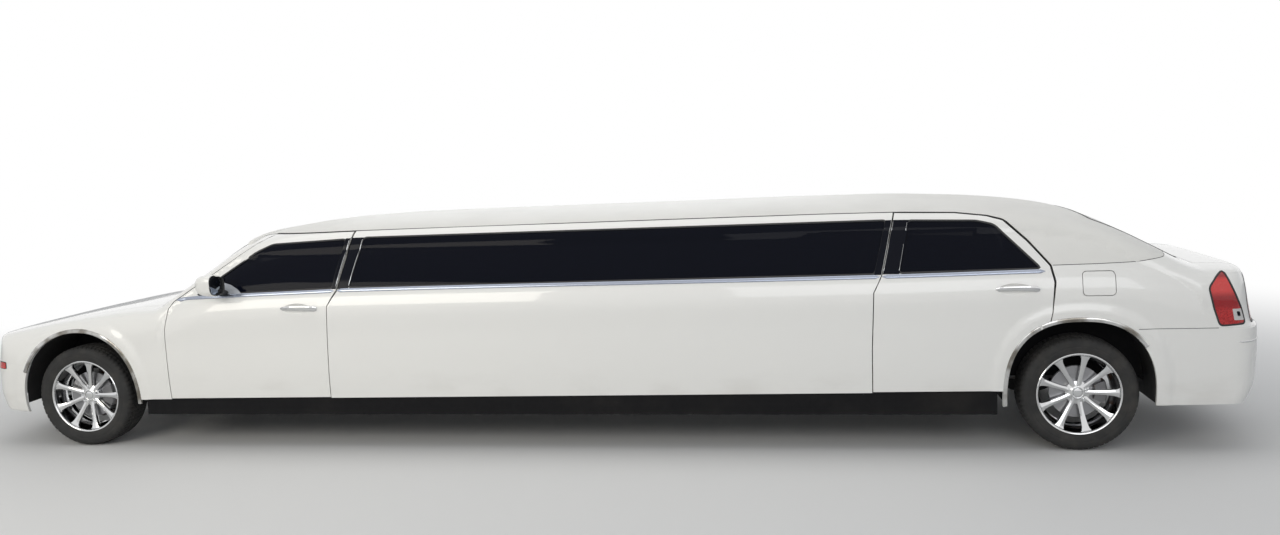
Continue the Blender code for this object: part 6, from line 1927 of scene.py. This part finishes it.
screen_line = rounded([(-0.085, 0.872), (0.085, 0.872), (0.085, 0.935), (-0.085, 0.935)], 0.010)
dress(outline_block(screen_line, "x", F + 0.900, F + 0.966), "dash_screen", "car", post_black)
a = np.linspace(0, 2 * np.pi, 40)[:-1]
rear_mirror = tube(np.array([
    np.stack([F + 1.145 + dx + 0 * a, 0.115 * share * np.cos(a), 1.315 + 0.030 * share * np.sin(a)], axis=-1)
    for dx, share in ((0.0, 0.30), (0.006, 0.80), (0.018, 0.98), (0.028, 1.0), (0.030, 0.94), (0.027, 0.92))
]))
a = np.linspace(0, 2 * np.pi, 14)[:-1]
stem = tube(np.array([
    np.stack([F + 1.140 - 0.010 * k + 0.006 * np.cos(a), 0.006 * np.sin(a), 1.340 + 0.020 * k + 0 * a], axis=-1)
    for k in range(4)
]))
dress(smooth(merged([rear_mirror, stem]), 50), "cabin_mirror", "car", plastic)

carpet_finish = Finish("carpet", (0.055, 0.055, 0.060), 0.95, slot="black_plastic")
tufts = carpet_finish.cells(700.0)
carpet_finish.tint(tufts.ramp(0.1, 0.6), (0.035, 0.035, 0.040), (0.085, 0.084, 0.088))
carpet_finish.bump(tufts, 0.0020, 0.7)
carpets = []
for x0, x1, y0, y1 in ((F + 0.66, F + 1.20, -0.74, 0.74), (F + 2.17, R - 1.24, -0.78, 0.26)):
    mat = outline_block(rounded([(x0, y0), (x1, y0), (x1, y1), (x0, y1)], 0.05), "z", 0.3103, 0.3200)
    carpets.append(apply_modifier(mat, "BEVEL", width=0.004, segments=3, limit_method="ANGLE"))
dress(smooth(merged(carpets), 40), "carpet", "car", carpet_finish)
print("driver's place and carpet done")

# %% [markdown]
# Some solids are already the right shape and only need a real surface: the floor pan, axles, engine, exhaust,
# dashboard, seats and partition. Castings get grime, the pipe gets heat stains, and moulded skins get grain.

# %% Finishes for the carried-over solids
undercoat = Finish("undercoat", (0.007, 0.007, 0.008), 0.75, Specular_IOR_Level=0.15)
undercoat.tint(undercoat.noise(2.5, 5.0).ramp(0.45, 0.8) * 0.5, (0.006, 0.006, 0.007), (0.026, 0.024, 0.022))
undercoat.feed("Roughness", 0.55 + undercoat.noise(30.0, 3.0) * 0.25)
undercoat.bump(undercoat.noise(140.0, 4.0), 0.0012, 0.5)

alloy = Finish("engine_alloy", (0.30, 0.30, 0.31), 0.45, 0.85)
grime = alloy.noise(11.0, 6.0).ramp(0.48, 0.75)
alloy.tint(grime, (0.34, 0.34, 0.35), (0.07, 0.06, 0.05))
alloy.feed("Metallic", 0.9 - grime * 0.8)
alloy.feed("Roughness", 0.35 + grime * 0.4)
alloy.bump(alloy.noise(180.0, 3.0), 0.0010, 0.4)

pipe_steel = Finish("exhaust_steel", (0.32, 0.31, 0.30), 0.4, 0.9)
heat = pipe_steel.axis("X").ramp(-2.8, 1.5)
spots = pipe_steel.noise(22.0, 6.0).ramp(0.55, 0.72)
pipe_steel.tint(spots, pipe_steel.blend(heat, (0.26, 0.19, 0.12), (0.36, 0.36, 0.36)), (0.12, 0.06, 0.035))
pipe_steel.feed("Metallic", 0.9 - spots * 0.8)
pipe_steel.feed("Roughness", 0.32 + spots * 0.45)

dash_skin = Finish("dashboard_skin", (0.030, 0.030, 0.032), 0.55)
dash_skin.tint(dash_skin.noise(4.0, 3.0), (0.026, 0.026, 0.028), (0.045, 0.045, 0.047))
dash_skin.feed("Roughness", 0.48 + dash_skin.noise(50.0) * 0.16)
dash_skin.bump(dash_skin.cells(380.0, "DISTANCE_TO_EDGE").ramp(0.0, 0.2), 0.0005, 0.6)

bright = Finish("grille_chrome", (0.62, 0.62, 0.63), 0.08, 1.0)
bright.feed("Roughness", 0.06 + bright.noise(20.0, 3.0).ramp(0.45, 0.8) * 0.10)

finish_rows = {
    "underbody": undercoat, "front_suspension": cast, "rear_suspension": cast, "engine": alloy, "exhaust": pipe_steel,
    "knuckle_left": cast, "knuckle_right": cast, "dashboard": dash_skin, "front_seats": leather,
    "saloon_bench": leather,
    "partition": leather, "grille": bright,
}
for name, finish in finish_rows.items():
    for material_slot in bpy.data.objects[name].material_slots:
        material_slot.material = finish.material
print("carried-over solids finished:", len(finish_rows))

# %% [markdown]
# The stage is a plain pale floor that fades to white far off, so no horizon cuts through the picture. The fade is
# only for the camera. The lamps are large and soft, because a car shows its form in wide, even reflections.

# %% Floor, world and lamps
floor_finish = Finish("floor", (0.74, 0.74, 0.735), 0.65)
far_off = floor_finish.out(floor_finish.node(
    "ShaderNodeVectorMath", {"operation": "LENGTH"}, Vector=floor_finish.place()
), "Value").ramp(4.6, 9.8)
seen = floor_finish.out(floor_finish.node("ShaderNodeLightPath"), "Is Camera Ray")
white_glow = floor_finish.node("ShaderNodeEmission", Color=(1, 1, 1, 1), Strength=1.0)
mixed = floor_finish.node("ShaderNodeMixShader")
floor_finish.tree.links.new((far_off * seen).socket, mixed.inputs[0])
floor_finish.tree.links.new(floor_finish.shader.outputs[0], mixed.inputs[1])
floor_finish.tree.links.new(white_glow.outputs[0], mixed.inputs[2])
floor_finish.tree.links.new(mixed.outputs[0], floor_finish.tree.nodes["Material Output"].inputs["Surface"])
deselect()
bpy.ops.mesh.primitive_circle_add(vertices=96, radius=60, fill_type="NGON", location=(0, 0, 0))
floor = bpy.context.active_object
floor.name = "floor"
floor.data.materials.append(floor_finish.material)

world = bpy.data.worlds.new("studio")
world.use_nodes = True
bpy.context.scene.world = world
sky = world.node_tree
for node in list(sky.nodes):
    sky.nodes.remove(node)
path = sky.nodes.new("ShaderNodeLightPath")
showing = Wire(sky, path.outputs["Is Camera Ray"])
for ray in ("Is Glossy Ray", "Is Transmission Ray"):
    showing = showing.math("MAXIMUM", showing, Wire(sky, path.outputs[ray]))
mix = sky.nodes.new("ShaderNodeMixShader")
sky.links.new(showing.socket, mix.inputs[0])
for number, colour, strength in ((1, (0.93, 0.96, 1.0, 1), 0.42), (2, (1, 1, 1, 1), 1.0)):
    background = sky.nodes.new("ShaderNodeBackground")
    background.inputs["Color"].default_value = colour
    background.inputs["Strength"].default_value = strength
    sky.links.new(background.outputs[0], mix.inputs[number])
world_out = sky.nodes.new("ShaderNodeOutputWorld")
sky.links.new(mix.outputs[0], world_out.inputs["Surface"])


def soft_lamp(name, place, target, size, power, tint):
    """A large area lamp that looks at its target."""
    light = bpy.data.lights.new(name, "AREA")
    light.shape = "RECTANGLE"
    light.size, light.size_y = size
    light.energy = power
    light.color = tint
    lamp = bpy.data.objects.new(name, light)
    bpy.context.scene.collection.objects.link(lamp)
    lamp.location = place
    lamp.rotation_euler = (Vector(target) - Vector(place)).to_track_quat("-Z", "Y").to_euler()
    return lamp


soft_lamp("overhead", (0.0, -0.5, 5.5), (0, 0, 0), (10, 4), 95, (1.0, 0.985, 0.96))
soft_lamp("near_front", (-4.6, -7.8, 4.2), (-2.4, 0, 0.8), (5, 3), 205, (1.0, 0.955, 0.855))
soft_lamp("near_rear", (3.4, -8.5, 4.2), (1.5, 0, 0.8), (6, 3), 110, (0.96, 0.975, 1.0))
soft_lamp("far_side", (-1.5, 8.0, 4.0), (0, 0, 0.8), (8, 3), 110, (0.94, 0.97, 1.0))
print("stage ready")
